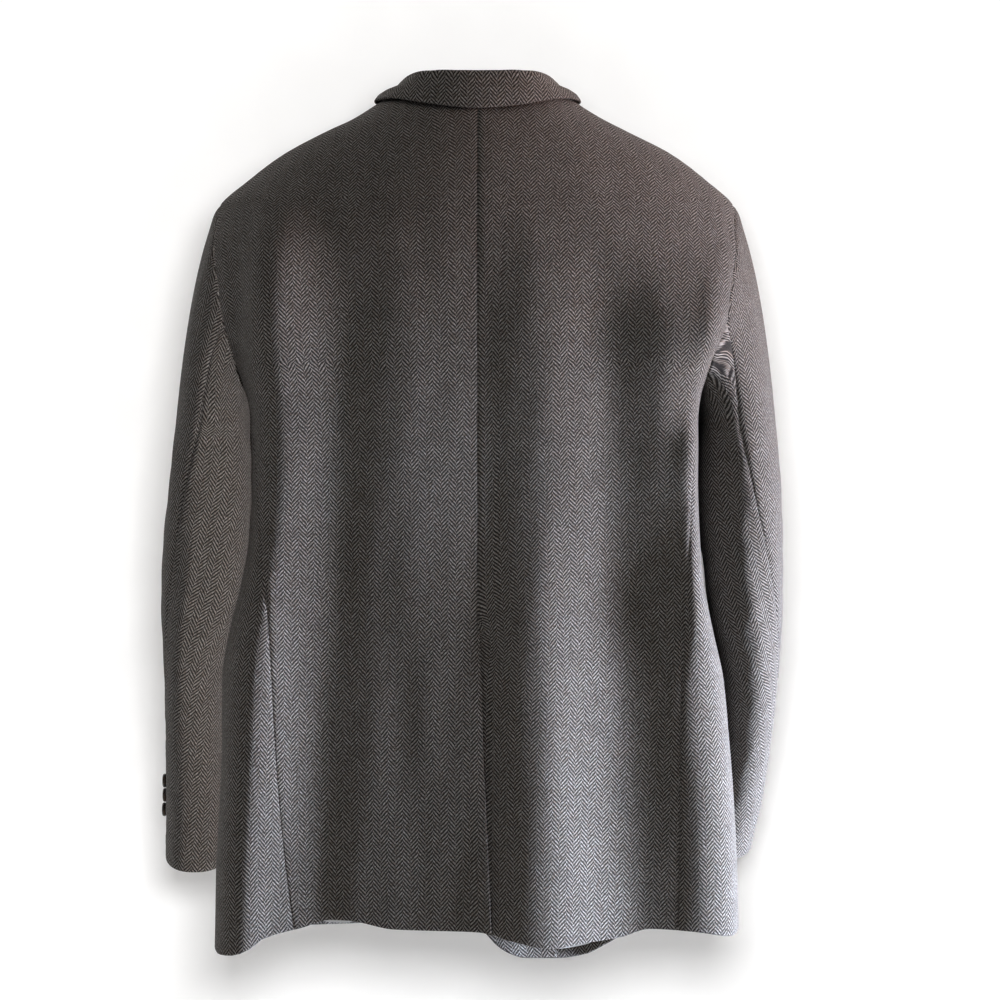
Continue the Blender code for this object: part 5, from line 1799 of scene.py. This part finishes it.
SLEEVES = {
    Side.LEFT: table(
        SleeveRing,
        (-0.722, 0.3076, 0.2455, 0.006, 0.104, 2.0, 205.0, 0.3),
        (-0.66, 0.3064, 0.245, -0.006, 0.099, 10.0, 210.0, 0.25),
        (-0.6, 0.3062, 0.249, -0.022, 0.091, 17.0, 215.0, 0.2),
        (-0.54, 0.3066, 0.2487, -0.04, 0.084, 28.0, 219.0, 0.12),
        (-0.48, 0.3082, 0.2355, -0.054, 0.078, 39.0, 222.0, 0.06),
        (-0.42, 0.3061, 0.2275, -0.064, 0.075, 52.0, 225.0, 0.0),
        (-0.36, 0.2998, 0.2225, -0.071, 0.073, 62.0, 227.0, 0.0),
        (-0.3, 0.293, 0.2218, -0.075, 0.072, 78.0, 228.0, 0.0),
    ),
    Side.RIGHT: table(
        SleeveRing,
        (-0.714, 0.2705, 0.212, 0.056, 0.155, -30.0, 195.0, 0.3),
        (-0.66, 0.2815, 0.2275, 0.035, 0.14, -18.0, 203.0, 0.26),
        (-0.6, 0.2885, 0.2395, 0.004, 0.118, -3.0, 211.0, 0.22),
        (-0.54, 0.2933, 0.2372, -0.03, 0.096, 23.0, 217.0, 0.14),
        (-0.48, 0.2957, 0.229, -0.05, 0.085, 42.0, 221.0, 0.08),
        (-0.42, 0.295, 0.2205, -0.063, 0.078, 60.0, 224.0, 0.0),
        (-0.36, 0.2922, 0.215, -0.071, 0.074, 77.0, 226.0, 0.0),
        (-0.3, 0.2877, 0.2128, -0.075, 0.072, 92.0, 227.0, 0.0),
    ),
}


@dataclass(frozen=True)
class Crease:
    """A soft trough or ridge on a sleeve: where it is, how far it reaches, and its rise."""

    side: Side
    angle: float
    z: float
    wide: float
    tall: float
    rise: float
    slant: float = 0.0

    def height(self, angle: Array, z: Array) -> Array:
        """Return the crease's height at angles round the sleeve and heights."""
        centre = self.angle + self.slant * (z - self.z)
        apart = (angle - centre + 180.0) % 360.0 - 180.0
        return self.rise * bell(apart, self.wide) * bell(z - self.z, self.tall)


CREASES = table(
    Crease,
    (Side.LEFT, 148.0, -0.43, 24.0, 0.15, 0.0085), (Side.LEFT, 206.0, -0.4, 20.0, 0.13, -0.0045),
    (Side.RIGHT, 148.0, -0.43, 24.0, 0.15, 0.009), (Side.RIGHT, 206.0, -0.4, 20.0, 0.13, -0.0045),
    (Side.LEFT, 60.0, -0.44, 16.0, 0.06, -0.0035, 180.0), (Side.LEFT, 100.0, -0.4, 18.0, 0.11, -0.003, 60.0),
    (Side.LEFT, 35.0, -0.33, 14.0, 0.08, 0.0022, -120.0), (Side.LEFT, 130.0, -0.47, 22.0, 0.03, 0.003, 500.0),
    (Side.LEFT, -40.0, -0.46, 18.0, 0.04, -0.0025, -240.0), (Side.LEFT, -90.0, -0.44, 20.0, 0.022, -0.003, -500.0),
    (Side.LEFT, -100.0, -0.39, 20.0, 0.02, 0.0025, -500.0), (Side.RIGHT, 70.0, -0.45, 16.0, 0.07, -0.003, 200.0),
    (Side.RIGHT, 110.0, -0.38, 18.0, 0.1, -0.003, 60.0), (Side.RIGHT, 30.0, -0.36, 16.0, 0.09, 0.0022, -100.0),
    (Side.RIGHT, 130.0, -0.49, 22.0, 0.03, 0.0028, 480.0), (Side.RIGHT, -40.0, -0.48, 18.0, 0.04, -0.0022, -220.0),
    (Side.RIGHT, -90.0, -0.45, 20.0, 0.024, -0.003, -480.0), (Side.RIGHT, -100.0, -0.4, 20.0, 0.02, 0.0025, -480.0),
)


@dataclass
class Sleeve:
    """One sleeve, cut in a top and an under piece."""

    room: CuttingRoom
    side: Side
    bicep: float = -0.3
    power: float = 2.3
    cloth: float = 0.0018
    cuff_turning: float = 0.0012
    cuff_depth: float = 0.035
    seam: float = 0.0011
    edge: float = 0.0012
    calm: float = 0.09
    cap_out: float = 0.65
    cap_down: float = 0.25
    head_gap: float = 0.0003
    head_roll: float = 0.0024
    head_reach: float = 0.011

    def __post_init__(self) -> None:
        """Make the curves of the sleeve's rings and find the angles of its seams."""
        names = ("outer", "inner", "rear", "front", "hind", "fore", "tilt")
        self.sizes = curves_of(SLEEVES[self.side], "z", names)
        self.cuff = SLEEVES[self.side][0].z
        angles = self.room.armhole.angles()
        self.seam_angle, self.hind_start = float(angles[0]), float(angles[1])

    def ring(self, angle: Array, z: Array) -> Array:
        """Return points of the sleeve: 0 degrees is outermost, 90 rear and 180 inmost."""
        size = {name: self.sizes[name](z) for name in ("outer", "inner", "rear", "front", "tilt")}
        out, back = np.cos(np.radians(angle)), np.sin(np.radians(angle))
        scale = (np.abs(out) ** self.power + np.abs(back) ** self.power) ** (-1.0 / self.power)
        x = (size["outer"] + size["inner"]) / 2 + (size["outer"] - size["inner"]) / 2 * out * scale
        reach = -(size["front"] - size["rear"]) / 2 * back * scale
        y = (size["front"] + size["rear"]) / 2 + reach
        return np.stack([self.side.sign * x, y, z + size["tilt"] * reach], axis=-1)

    def outward(self, angle: Array, z: Array) -> Array:
        """Return the outward directions of the sleeve's rings."""
        along = self.ring(angle + 2.0, z) - self.ring(angle - 2.0, z)
        normal = np.stack([along[..., 1], -along[..., 0], np.zeros(along.shape[:-1])], axis=-1)
        return unit(normal) * -self.side.sign

    def surface(self, angle: Array, z: Array) -> Array:
        """Return points of the sleeve with its creases."""
        angle, z = np.broadcast_arrays(angle, z)
        rise = sum(crease.height(angle, z) for crease in CREASES if crease.side is self.side)
        rise = rise + 0.0005 * np.sin(angle * 0.11 + z * 57.0) * np.sin(z * 83.0 + angle * 0.04)
        fade = soft_step((self.bicep + 0.02 - z) / 0.06) * soft_step((z - self.cuff) / 0.05 + 0.3)
        return self.ring(angle, z) + self.outward(angle, z) * (rise * fade)[..., None]

    def turned(self, angle: Array, z: Array, top: bool) -> Array:
        """Return the angle round a ring of the column that leaves the armhole at an angle."""
        hind, fore = self.sizes["hind"](z), self.sizes["fore"](z)
        if top:
            share = (angle + self.seam_angle) / (self.hind_start + self.seam_angle)
            return mix(fore - 360.0, hind, share)
        share = (angle - self.hind_start) / (360.0 - self.seam_angle - self.hind_start)
        return mix(hind, fore, share)

    def _cap(self, angle: Array, shares: Array, top: bool) -> tuple[Array, Array]:
        """Return the points and directions of the sleeve's head, down to its first ring."""
        room, sign = self.room, self.side.sign
        turn, z = room.armhole.place(angle, self.side)
        start, _ = room.form.place(turn, z, np.zeros(z.shape))
        start = start + np.array([sign * self.head_gap, 0.0, 0.0])
        turned = self.turned(angle, np.float64(self.bicep), top)
        end = self.surface(turned, np.float64(self.bicep))
        bend = mix(start, end, self.cap_out)
        bend[:, 2] = mix(start[:, 2], end[:, 2], self.cap_down)
        share = shares[:, None, None]
        points = mix(mix(start, bend, share), mix(bend, end, share), share)
        radians = np.radians(angle)
        radial = np.stack([np.zeros(len(angle)), -np.sin(radians), np.cos(radians)], axis=-1)
        ring = self.outward(turned, np.full(len(angle), self.bicep))
        directions = unit(radial * (1 - share) + ring * share)
        away = np.linalg.norm(points - start, axis=-1)
        centred = (angle + 180.0) % 360.0 - 180.0
        roll = self.head_roll * bell((away - self.head_reach), 0.008) * bell(centred, 62.0)[None, :]
        return points + directions * roll[..., None], directions

    def build(self) -> None:
        """Sew the top and the under sleeve."""
        for name, top in (("top_sleeve_", True), ("under_sleeve_", False)):
            low, high = (-self.seam_angle, self.hind_start) if top else (self.hind_start, 360.0 - self.seam_angle)
            rims = Rims(self.edge, self.seam, self.seam, self.seam, ("inner", "outer", "head"))
            angle = mix(low, high, self.room.shares(0.25 if top else 0.15, self.seam, self.seam, 0.0034))
            cap_shares = self.room.shares(0.2, self.seam, self.seam, 0.0044)[:-6]
            cap, cap_out = self._cap(angle, cap_shares, top)
            reach = self.bicep - self.cuff
            levels = self.bicep - reach * spaced(reach, 0.0044, 0.0003, 0.0012)[6:]
            z = np.broadcast_to(np.append(self.bicep, levels)[:, None], (len(levels) + 1, len(angle)))
            turned = self.turned(angle[None, :], z, top)
            points = np.concatenate([cap, self.surface(turned, z)])[::-1]
            outward = np.concatenate([cap_out, self.outward(turned, z)])[::-1]
            above = edge_distances(points)["foot"]
            thickness = self.cloth + self.cuff_turning * soft_step((self.cuff_depth - above) / 0.004)
            self.room.sew(
                Piece(
                    name + self.side.label, Slot.TWEED, points, outward, thickness, rims,
                    seams="inner outer head", groove=0.001, allowances=() if top else ("inner", "outer"),
                    calm=0.0 if top else self.calm,
                )
            )


@dataclass
class Pockets:
    """Slanted hip flaps, each under its jet."""

    room: CuttingRoom
    inner: Pair = (0.082, -0.508)
    outer: Pair = (0.196, -0.548)
    depth: float = 0.056
    jet: float = 0.006
    jet_gap: float = 0.0005
    lift: float = 0.0042
    cloth: float = 0.002
    corner: float = 0.014
    corner_share: float = 0.8
    fullness: float = 0.0014

    def build(self) -> None:
        """Sew both flaps and both jets."""
        width = math.hypot(self.outer[0] - self.inner[0], self.outer[1] - self.inner[1])
        rims = Rims(0.0012, 0.001, 0.0012, 0.0012)
        for side in Side:
            jets: tuple[Object, ...] = ()
            for name, top, foot in (("jet_", self.jet, self.jet_gap), ("flap_", 0.0, -self.depth)):
                flap = name == "flap_"
                shares = spaced(width, 0.0022, 0.0012, 0.0012)
                up = spaced(top - foot, 0.0022, 0.001, 0.001)
                near = np.minimum(shares, 1 - shares) * width
                round_off = self.corner * (1 - np.sqrt(1 - (1 - np.clip(near / self.corner, 0, 1)) ** 2))
                round_off = np.minimum(round_off, self.corner * self.corner_share) * flap
                drop = mix(foot + round_off[None, :], top, up[:, None])
                x = np.broadcast_to(mix(self.inner[0], self.outer[0], shares), drop.shape)
                z = mix(self.inner[1], self.outer[1], shares) + drop
                belly = self.fullness * np.sin(np.clip(-drop / self.depth, 0, 1) * math.pi) * flap
                turn = self.room.form.turn_at(side.sign * x, z, side, True)
                points, outward = self.room.form.place(turn, z, self.lift + belly)
                piece = Piece(name + side.label, Slot.TWEED, points, outward, self.cloth, rims, pucker=0.0, groove=0.0)
                piece.rests_on, piece.trimmings = ("front_" + side.label,), jets
                piece.trims_another = not flap
                jets = (self.room.sew(piece),)


@dataclass(frozen=True)
class ButtonStyle:
    """The sizes of a four-hole horn button."""

    radius: float
    thickness: float = 0.0035
    hole: float = 0.00085
    holes_apart: float = 0.0019
    rings: int = 26
    spokes: int = 80

    def height(self, reach: Array) -> Array:
        """Return the face's height at distances from the middle: dished, with a rim."""
        share = reach / self.radius
        dish = mix(0.66, 0.72, soft_step(share / 0.6))
        rim = 0.28 * soft_step((share - 0.62) / 0.14)
        edge = 0.42 * (1 - np.sqrt(np.maximum(0.0, 1 - np.clip((share - 0.86) / 0.14, 0, 1) ** 2)))
        return (dish + rim - edge) * self.thickness

    def hole_places(self) -> Array:
        """Return the four holes' places across the button."""
        half = self.holes_apart / math.sqrt(2) * 0.98
        return np.array([(half, half), (-half, half), (-half, -half), (half, -half)])


@dataclass
class Buttons:
    """Horn buttons down the front and on the cuffs, sewn on through four holes."""

    room: CuttingRoom
    sleeves: dict[Side, Sleeve]
    front: ButtonStyle = ButtonStyle(0.0105, holes_apart=0.0028, hole=0.0011)
    cuff: ButtonStyle = ButtonStyle(0.0068)
    lift: float = 0.0012
    front_heights: tuple[float, ...] = (-0.34, -0.44, -0.54)
    cuff_heights: tuple[float, ...] = (-0.6525, -0.6668, -0.6811)
    cuff_angle: dict[Side, float] = field(default_factory=lambda: {Side.LEFT: -10.0, Side.RIGHT: -44.0})

    def build(self) -> None:
        """Make every button and its thread."""
        form = self.room.form
        for number, z in enumerate(self.front_heights, start=1):
            centre, _ = form.place(np.float64(180.0), np.float64(z), np.float64(self.lift))
            self._sewn("front_button_%d" % number, centre, form.normal(centre), self.front)
        for side in Side:
            sleeve = self.sleeves[side]
            for number, z in enumerate(self.cuff_heights, start=1):
                angle = np.float64(self.cuff_angle[side])
                axis = sleeve.outward(angle, np.float64(z))
                centre = sleeve.surface(angle, np.float64(z)) + axis * self.lift
                self._sewn("cuff_button_%s_%d" % (side.label, number), centre, axis, self.cuff)

    def _frame(self, axis: Array) -> tuple[Array, Array]:
        """Return two directions across a button, the first upward."""
        up = np.array([0.0, 0.0, 1.0])
        upward = unit(up - axis * np.dot(up, axis))
        return upward, np.cross(axis, upward)

    def _sewn(self, name: str, centre: Array, axis: Array, style: ButtonStyle) -> None:
        """Make one button and the thread that crosses between its holes."""
        made = self._turned(name + "_horn", centre, axis, style)
        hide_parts(name)
        self.room.ride(made, Slot.BUTTON)
        thread = self._thread(name + "_thread", centre, axis, style)
        self.room.ride(thread, Slot.BUTTON)
        Log.info("%s: %d faces", name, len(made.data.polygons) + len(thread.data.polygons))

    def _turned(self, name: str, centre: Array, axis: Array, style: ButtonStyle) -> Object:
        """Turn a button: a dished face with a rim, four holes and a flat back."""
        upward, across = self._frame(axis)
        reach = style.radius * np.linspace(0.02, 1.0, style.rings) ** 0.9
        spokes = np.linspace(0, 2 * math.pi, style.spokes, endpoint=False)
        flat = reach[:, None, None] * np.stack([np.cos(spokes), np.sin(spokes)], axis=-1)
        height = np.repeat(style.height(reach)[:, None], style.spokes, axis=1)
        for place in style.hole_places():
            apart = np.linalg.norm(flat - place, axis=-1)
            height = height - 0.5 * style.thickness * soft_step((style.hole * 1.15 - apart) / (style.hole * 0.35))
        back = np.array([(1.0, 0.45), (0.93, 0.12), (0.8, 0.0), (0.4, 0.0), (0.02, 0.0)])
        rings = [flat[:, :, 0], flat[:, :, 1], height]
        under = back[:, 0, None] * style.radius
        rings[0] = np.concatenate([rings[0], under * np.cos(spokes)])
        rings[1] = np.concatenate([rings[1], under * np.sin(spokes)])
        rings[2] = np.concatenate([rings[2], np.repeat(back[:, 1, None] * style.thickness, style.spokes, axis=1)])
        points = centre + rings[0][..., None] * upward + rings[1][..., None] * across + rings[2][..., None] * axis
        return self._round(name, points, HORN)

    @staticmethod
    def _round(name: str, points: Array, finish: Finish) -> Object:
        """Make a closed round mesh of rings, capped at its first and last."""
        count, spokes = points.shape[:2]
        index = np.arange(count * spokes).reshape(count, spokes)
        after = np.roll(index, -1, axis=1)
        faces = np.stack([index[:-1], index[1:], after[1:], after[:-1]], axis=-1).reshape(-1, 4)
        made = mesh_object(name, points.reshape(-1, 3), faces, finish)
        shape = bmesh.new()
        shape.from_mesh(made.data)
        bmesh.ops.holes_fill(shape, edges=[edge for edge in shape.edges if edge.is_boundary])
        bmesh.ops.recalc_face_normals(shape, faces=shape.faces)
        for face in shape.faces:
            face.smooth = True
        shape.to_mesh(made.data)
        shape.free()
        return made

    def _thread(self, name: str, centre: Array, axis: Array, style: ButtonStyle) -> Object:
        """Lay two crossed bars of thread over a button's middle, down into its holes."""
        upward, across = self._frame(axis)
        holes = style.hole_places()
        paths = []
        for number, (a, b) in enumerate(((0, 2), (1, 3))):
            for offset in (-0.00022, 0.00022):
                share = np.linspace(0, 1, 13)
                line = mix(holes[a], holes[b], share[:, None])
                aside = np.array([-(holes[b] - holes[a])[1], (holes[b] - holes[a])[0]])
                line = line + aside / np.linalg.norm(aside) * offset
                top = style.thickness * (0.7 + 0.05 * number)
                sunk = 0.0016 * np.clip((np.abs(share - 0.5) - 0.4) / 0.1, 0, 1)
                height = top - sunk + 0.0003 * np.sin(share * math.pi)
                paths.append(centre + line[:, :1] * upward + line[:, 1:] * across + height[:, None] * axis)
        return tubes(name, paths, 0.00026, THREAD)


def tubes(name: str, paths: Sequence[Array], radius: float, finish: Finish, sides: int = 8) -> Object:
    """Make round cords of thread along paths, all in one object.

    Args:
        name: The object's name.
        paths: The points of each path.
        radius: The thread's radius.
        finish: What the thread is made of.
        sides: How many sides its section has.

    Returns:
        The new object.
    """
    vertices, faces, start = [], [], 0
    for path in paths:
        along = unit(np.gradient(path, axis=0))
        first = unit(np.cross(along, along + np.array([0.31, 0.17, 0.93])))
        second = np.cross(along, first)
        spokes = np.linspace(0, 2 * math.pi, sides, endpoint=False)[None, :, None]
        ring = path[:, None] + radius * (np.cos(spokes) * first[:, None] + np.sin(spokes) * second[:, None])
        index = start + np.arange(len(path) * sides).reshape(len(path), sides)
        after = np.roll(index, -1, axis=1)
        faces.append(np.stack([index[:-1], index[1:], after[1:], after[:-1]], axis=-1).reshape(-1, 4))
        vertices.append(ring.reshape(-1, 3))
        start += len(path) * sides
    return mesh_object(name, np.concatenate(vertices), np.concatenate(faces), finish)


@dataclass
class Buttonholes:
    """Corded buttonholes at the left front's edge, and one in the left lapel."""

    room: CuttingRoom
    heights: tuple[float, ...] = (-0.34, -0.44, -0.54)
    start: float = -0.002
    end: float = 0.0135
    width: float = 0.0011
    lapel: Pair = (-0.108, -0.128)
    lapel_lift: float = 0.0062

    def build(self) -> None:
        """Cord every buttonhole."""
        paths = [self._oval(self.start, z, self.end - self.start, 0.0, 0.0004) for z in self.heights]
        x, z = self.lapel
        paths.append(self._oval(x, z, 0.019, 0.2, self.lapel_lift))
        made = tubes("buttonholes", paths, 0.00055, THREAD)
        self.room.ride(made, Slot.TWEED)
        Log.info("buttonholes: %d faces", len(made.data.polygons))

    def _oval(self, x: float, z: float, length: float, slope: float, lift: float) -> Array:
        """Return a long narrow loop on the front, from a place towards the right."""
        turn = np.linspace(0, 2 * math.pi, 61)
        along = length / 2 * (1 + np.sign(np.cos(turn)) * np.abs(np.cos(turn)) ** 0.35)
        beside = self.width * np.sin(turn)
        across, high = x + along - slope * beside, z + beside + slope * along
        form = self.room.form
        turns = np.where(
            across < 0, form.turn_at(across, high, Side.LEFT, True), form.turn_at(across, high, Side.RIGHT, True)
        )
        turns = np.where(turns < 0, turns + 360.0, turns)
        points, _ = form.place(turns, high, np.full(turn.shape, lift))
        return points


# Studio


@dataclass(frozen=True)
class StudioWhite(Finish):
    """Matt white paper that shines a little, seen from its front only."""

    name: str = "studio_white"
    glow: float = 0.12

    def dress(self, w: Wiring, shader: Node) -> None:
        """Let the paper show from the front and be clear from behind."""
        place = w.node("ShaderNodeTexCoord").outputs["Object"]
        fleck = w.noise(place, 30.0, 2.0)
        shade = w.range(fleck, 0.3, 0.7, 0.9, 0.93)
        w.wire(shader, Base_Color=w.join(shade, shade, shade), Emission_Color=w.join(1.0, 1.0, 1.0))
        w.wire(shader, Emission_Strength=self.glow, Roughness=0.95, Specular_IOR_Level=0.1)
        clear = w.node("ShaderNodeBsdfTransparent").outputs[0]
        behind = w.node("ShaderNodeNewGeometry").outputs["Backfacing"]
        both = w.fed(w.node("ShaderNodeMixShader"), (0, 1, 2), (behind, shader.outputs[0], clear))
        w.wire(next(node for node in w.tree.nodes if node.type == "OUTPUT_MATERIAL"), Surface=both)


class Lit(Enum):
    """What a lamp lights."""

    ALL = "all"
    JACKET = "jacket"
    PAPER = "paper"
    LEFT_SLEEVE = "left_sleeve"


@dataclass(frozen=True)
class Lamp:
    """A square soft light: where it is, what it points at, its size, power and colour."""

    name: str
    place: Place
    target: Place
    size: Pair
    power: float
    spread: float = 180.0
    colour: Place = (1.0, 1.0, 1.0)
    lit: Lit = Lit.ALL


@dataclass
class Studio:
    """A pale sweep of paper, soft lamps and the camera."""

    camera_place: Place = (0.0208, -4.11, -0.3742)
    lens: float = 152.4
    sensor: float = 36.0
    wall_y: float = 0.21
    floor_z: float = -1.05
    sweep: float = 0.1
    half_width: float = 3.0
    lamps: tuple[Lamp, ...] = (
        Lamp(
            "low_key", (2.98, -0.38, -0.8), (0.0, -0.12, -0.95), (0.5, 0.9), 26.0, 30.0, (0.86, 1.0, 1.22), Lit.JACKET
        ),
        Lamp(
            "high_key", (2.98, -0.38, -0.1), (0.0, -0.12, -0.32), (0.5, 0.9), 8.8, 50.0, (1.0, 0.63, 0.54), Lit.JACKET
        ),
        Lamp(
            "sleeve_fill", (2.2, -1.75, -0.7), (-0.26, 0.0, -0.56), (0.4, 0.5), 3.4, 30.0, (1.0, 0.94, 0.93),
            Lit.LEFT_SLEEVE,
        ),
        Lamp("side_fill", (2.2, -2.0, 0.0), (0.0, 0.0, -0.42), (1.3, 1.6), 3.5),
        Lamp("front_fill", (-0.3, -3.2, 2.6), (0.0, 0.0, -0.45), (1.6, 1.2), 8.0),
        Lamp("top", (-0.1, -0.9, 2.3), (0.0, 0.0, -0.1), (1.6, 1.0), 14.5, 180.0, (1.0, 0.92, 0.86)),
        Lamp("paper_light", (0.1, -3.2, -0.08), (0.0, 0.2, -0.45), (0.7, 0.5), 72.0, lit=Lit.PAPER),
    )
    ambient: float = 0.03

    def build(self) -> None:
        """Set up the paper, the lamps, the world and the camera."""
        self._paper()
        for lamp in self.lamps:
            self._light(lamp)
        self._world()
        self._camera()
        bpy.context.scene.view_settings.view_transform = "Standard"

    def _paper(self) -> None:
        """Lay a floor that sweeps up into a wall close behind the jacket."""
        corner = [
            (self.wall_y - self.sweep * (1 - math.sin(a)), self.floor_z + self.sweep * (1 - math.cos(a)))
            for a in np.linspace(0, math.pi / 2, 13)
        ]
        line = [(-7.0, self.floor_z), (-3.0, self.floor_z), *corner, (self.wall_y, 0.6), (self.wall_y, 2.2)]
        xs = np.linspace(-self.half_width, self.half_width, 9)
        points = np.array([[(x, y, z) for x in xs] for y, z in line])
        index = np.arange(points.shape[0] * points.shape[1]).reshape(points.shape[:2])
        paper = mesh_object("studio_paper", points.reshape(-1, 3), quads(index), StudioWhite())
        self.receivers = {}
        sleeve = [bpy.data.objects[name + "_sleeve_left_cloth"] for name in ("top", "under")]
        rules = {
            Lit.JACKET: ([paper], "EXCLUDE"), Lit.PAPER: ([paper], "INCLUDE"), Lit.LEFT_SLEEVE: (sleeve, "INCLUDE")
        }
        for lit, (objects, state) in rules.items():
            receiver = bpy.data.collections.new("lit_" + lit.value)
            for each in objects:
                receiver.objects.link(each)
            for entry in receiver.collection_objects:
                entry.light_linking.link_state = state
            self.receivers[lit] = receiver

    def _light(self, lamp: Lamp) -> None:
        """Hang one soft lamp."""
        data = bpy.data.lights.new(lamp.name, "AREA")
        data.shape, data.size, data.size_y = "RECTANGLE", *lamp.size
        data.energy, data.color, data.spread = lamp.power, lamp.colour, math.radians(lamp.spread)
        made = bpy.data.objects.new(lamp.name, data)
        made.location = lamp.place
        aim = Vector(lamp.target) - Vector(lamp.place)
        made.rotation_euler = aim.to_track_quat("-Z", "Y").to_euler()
        bpy.context.scene.collection.objects.link(made)
        if lamp.lit is not Lit.ALL:
            made.light_linking.receiver_collection = self.receivers[lamp.lit]
        if lamp.lit is Lit.LEFT_SLEEVE:
            made.light_linking.blocker_collection = self.receivers[lamp.lit]

    def _world(self) -> None:
        """Light the scene evenly and faintly, and show white behind it."""
        world = bpy.data.worlds.new("studio")
        world.use_nodes = True
        bpy.context.scene.world = world
        w = Wiring(world.node_tree)
        background = world.node_tree.nodes["Background"]
        seen = w.node("ShaderNodeLightPath").outputs["Is Camera Ray"]
        w.wire(background, Strength=w.blend(seen, self.ambient, 1.0), Color=(1.0, 1.0, 1.0, 1.0))

    def _camera(self) -> None:
        """Place the camera level with the jacket's middle, square to its back."""
        data = bpy.data.cameras.new("camera")
        data.lens, data.sensor_width = self.lens, self.sensor
        data.clip_end = 50.0
        made = bpy.data.objects.new("camera", data)
        made.location = self.camera_place
        made.rotation_euler = (math.pi / 2, 0.0, 0.0)
        bpy.context.scene.collection.objects.link(made)
        bpy.context.scene.camera = made


def main() -> None:
    """Build the jacket and the studio."""
    logging.basicConfig(level=logging.INFO, format="%(name)s: %(message)s")
    room = CuttingRoom()
    Shell(room).build()
    Inside(room).build()
    Lapels(room).build()
    Collar(room).build()
    sleeves = {side: Sleeve(room, side) for side in Side}
    for sleeve in sleeves.values():
        sleeve.build()
    Pockets(room).build()
    Buttons(room, sleeves).build()
    Buttonholes(room).build()
    Studio().build()
    Log.info("%d pieces", len(room.made))


if __name__ == "__main__":
    main()
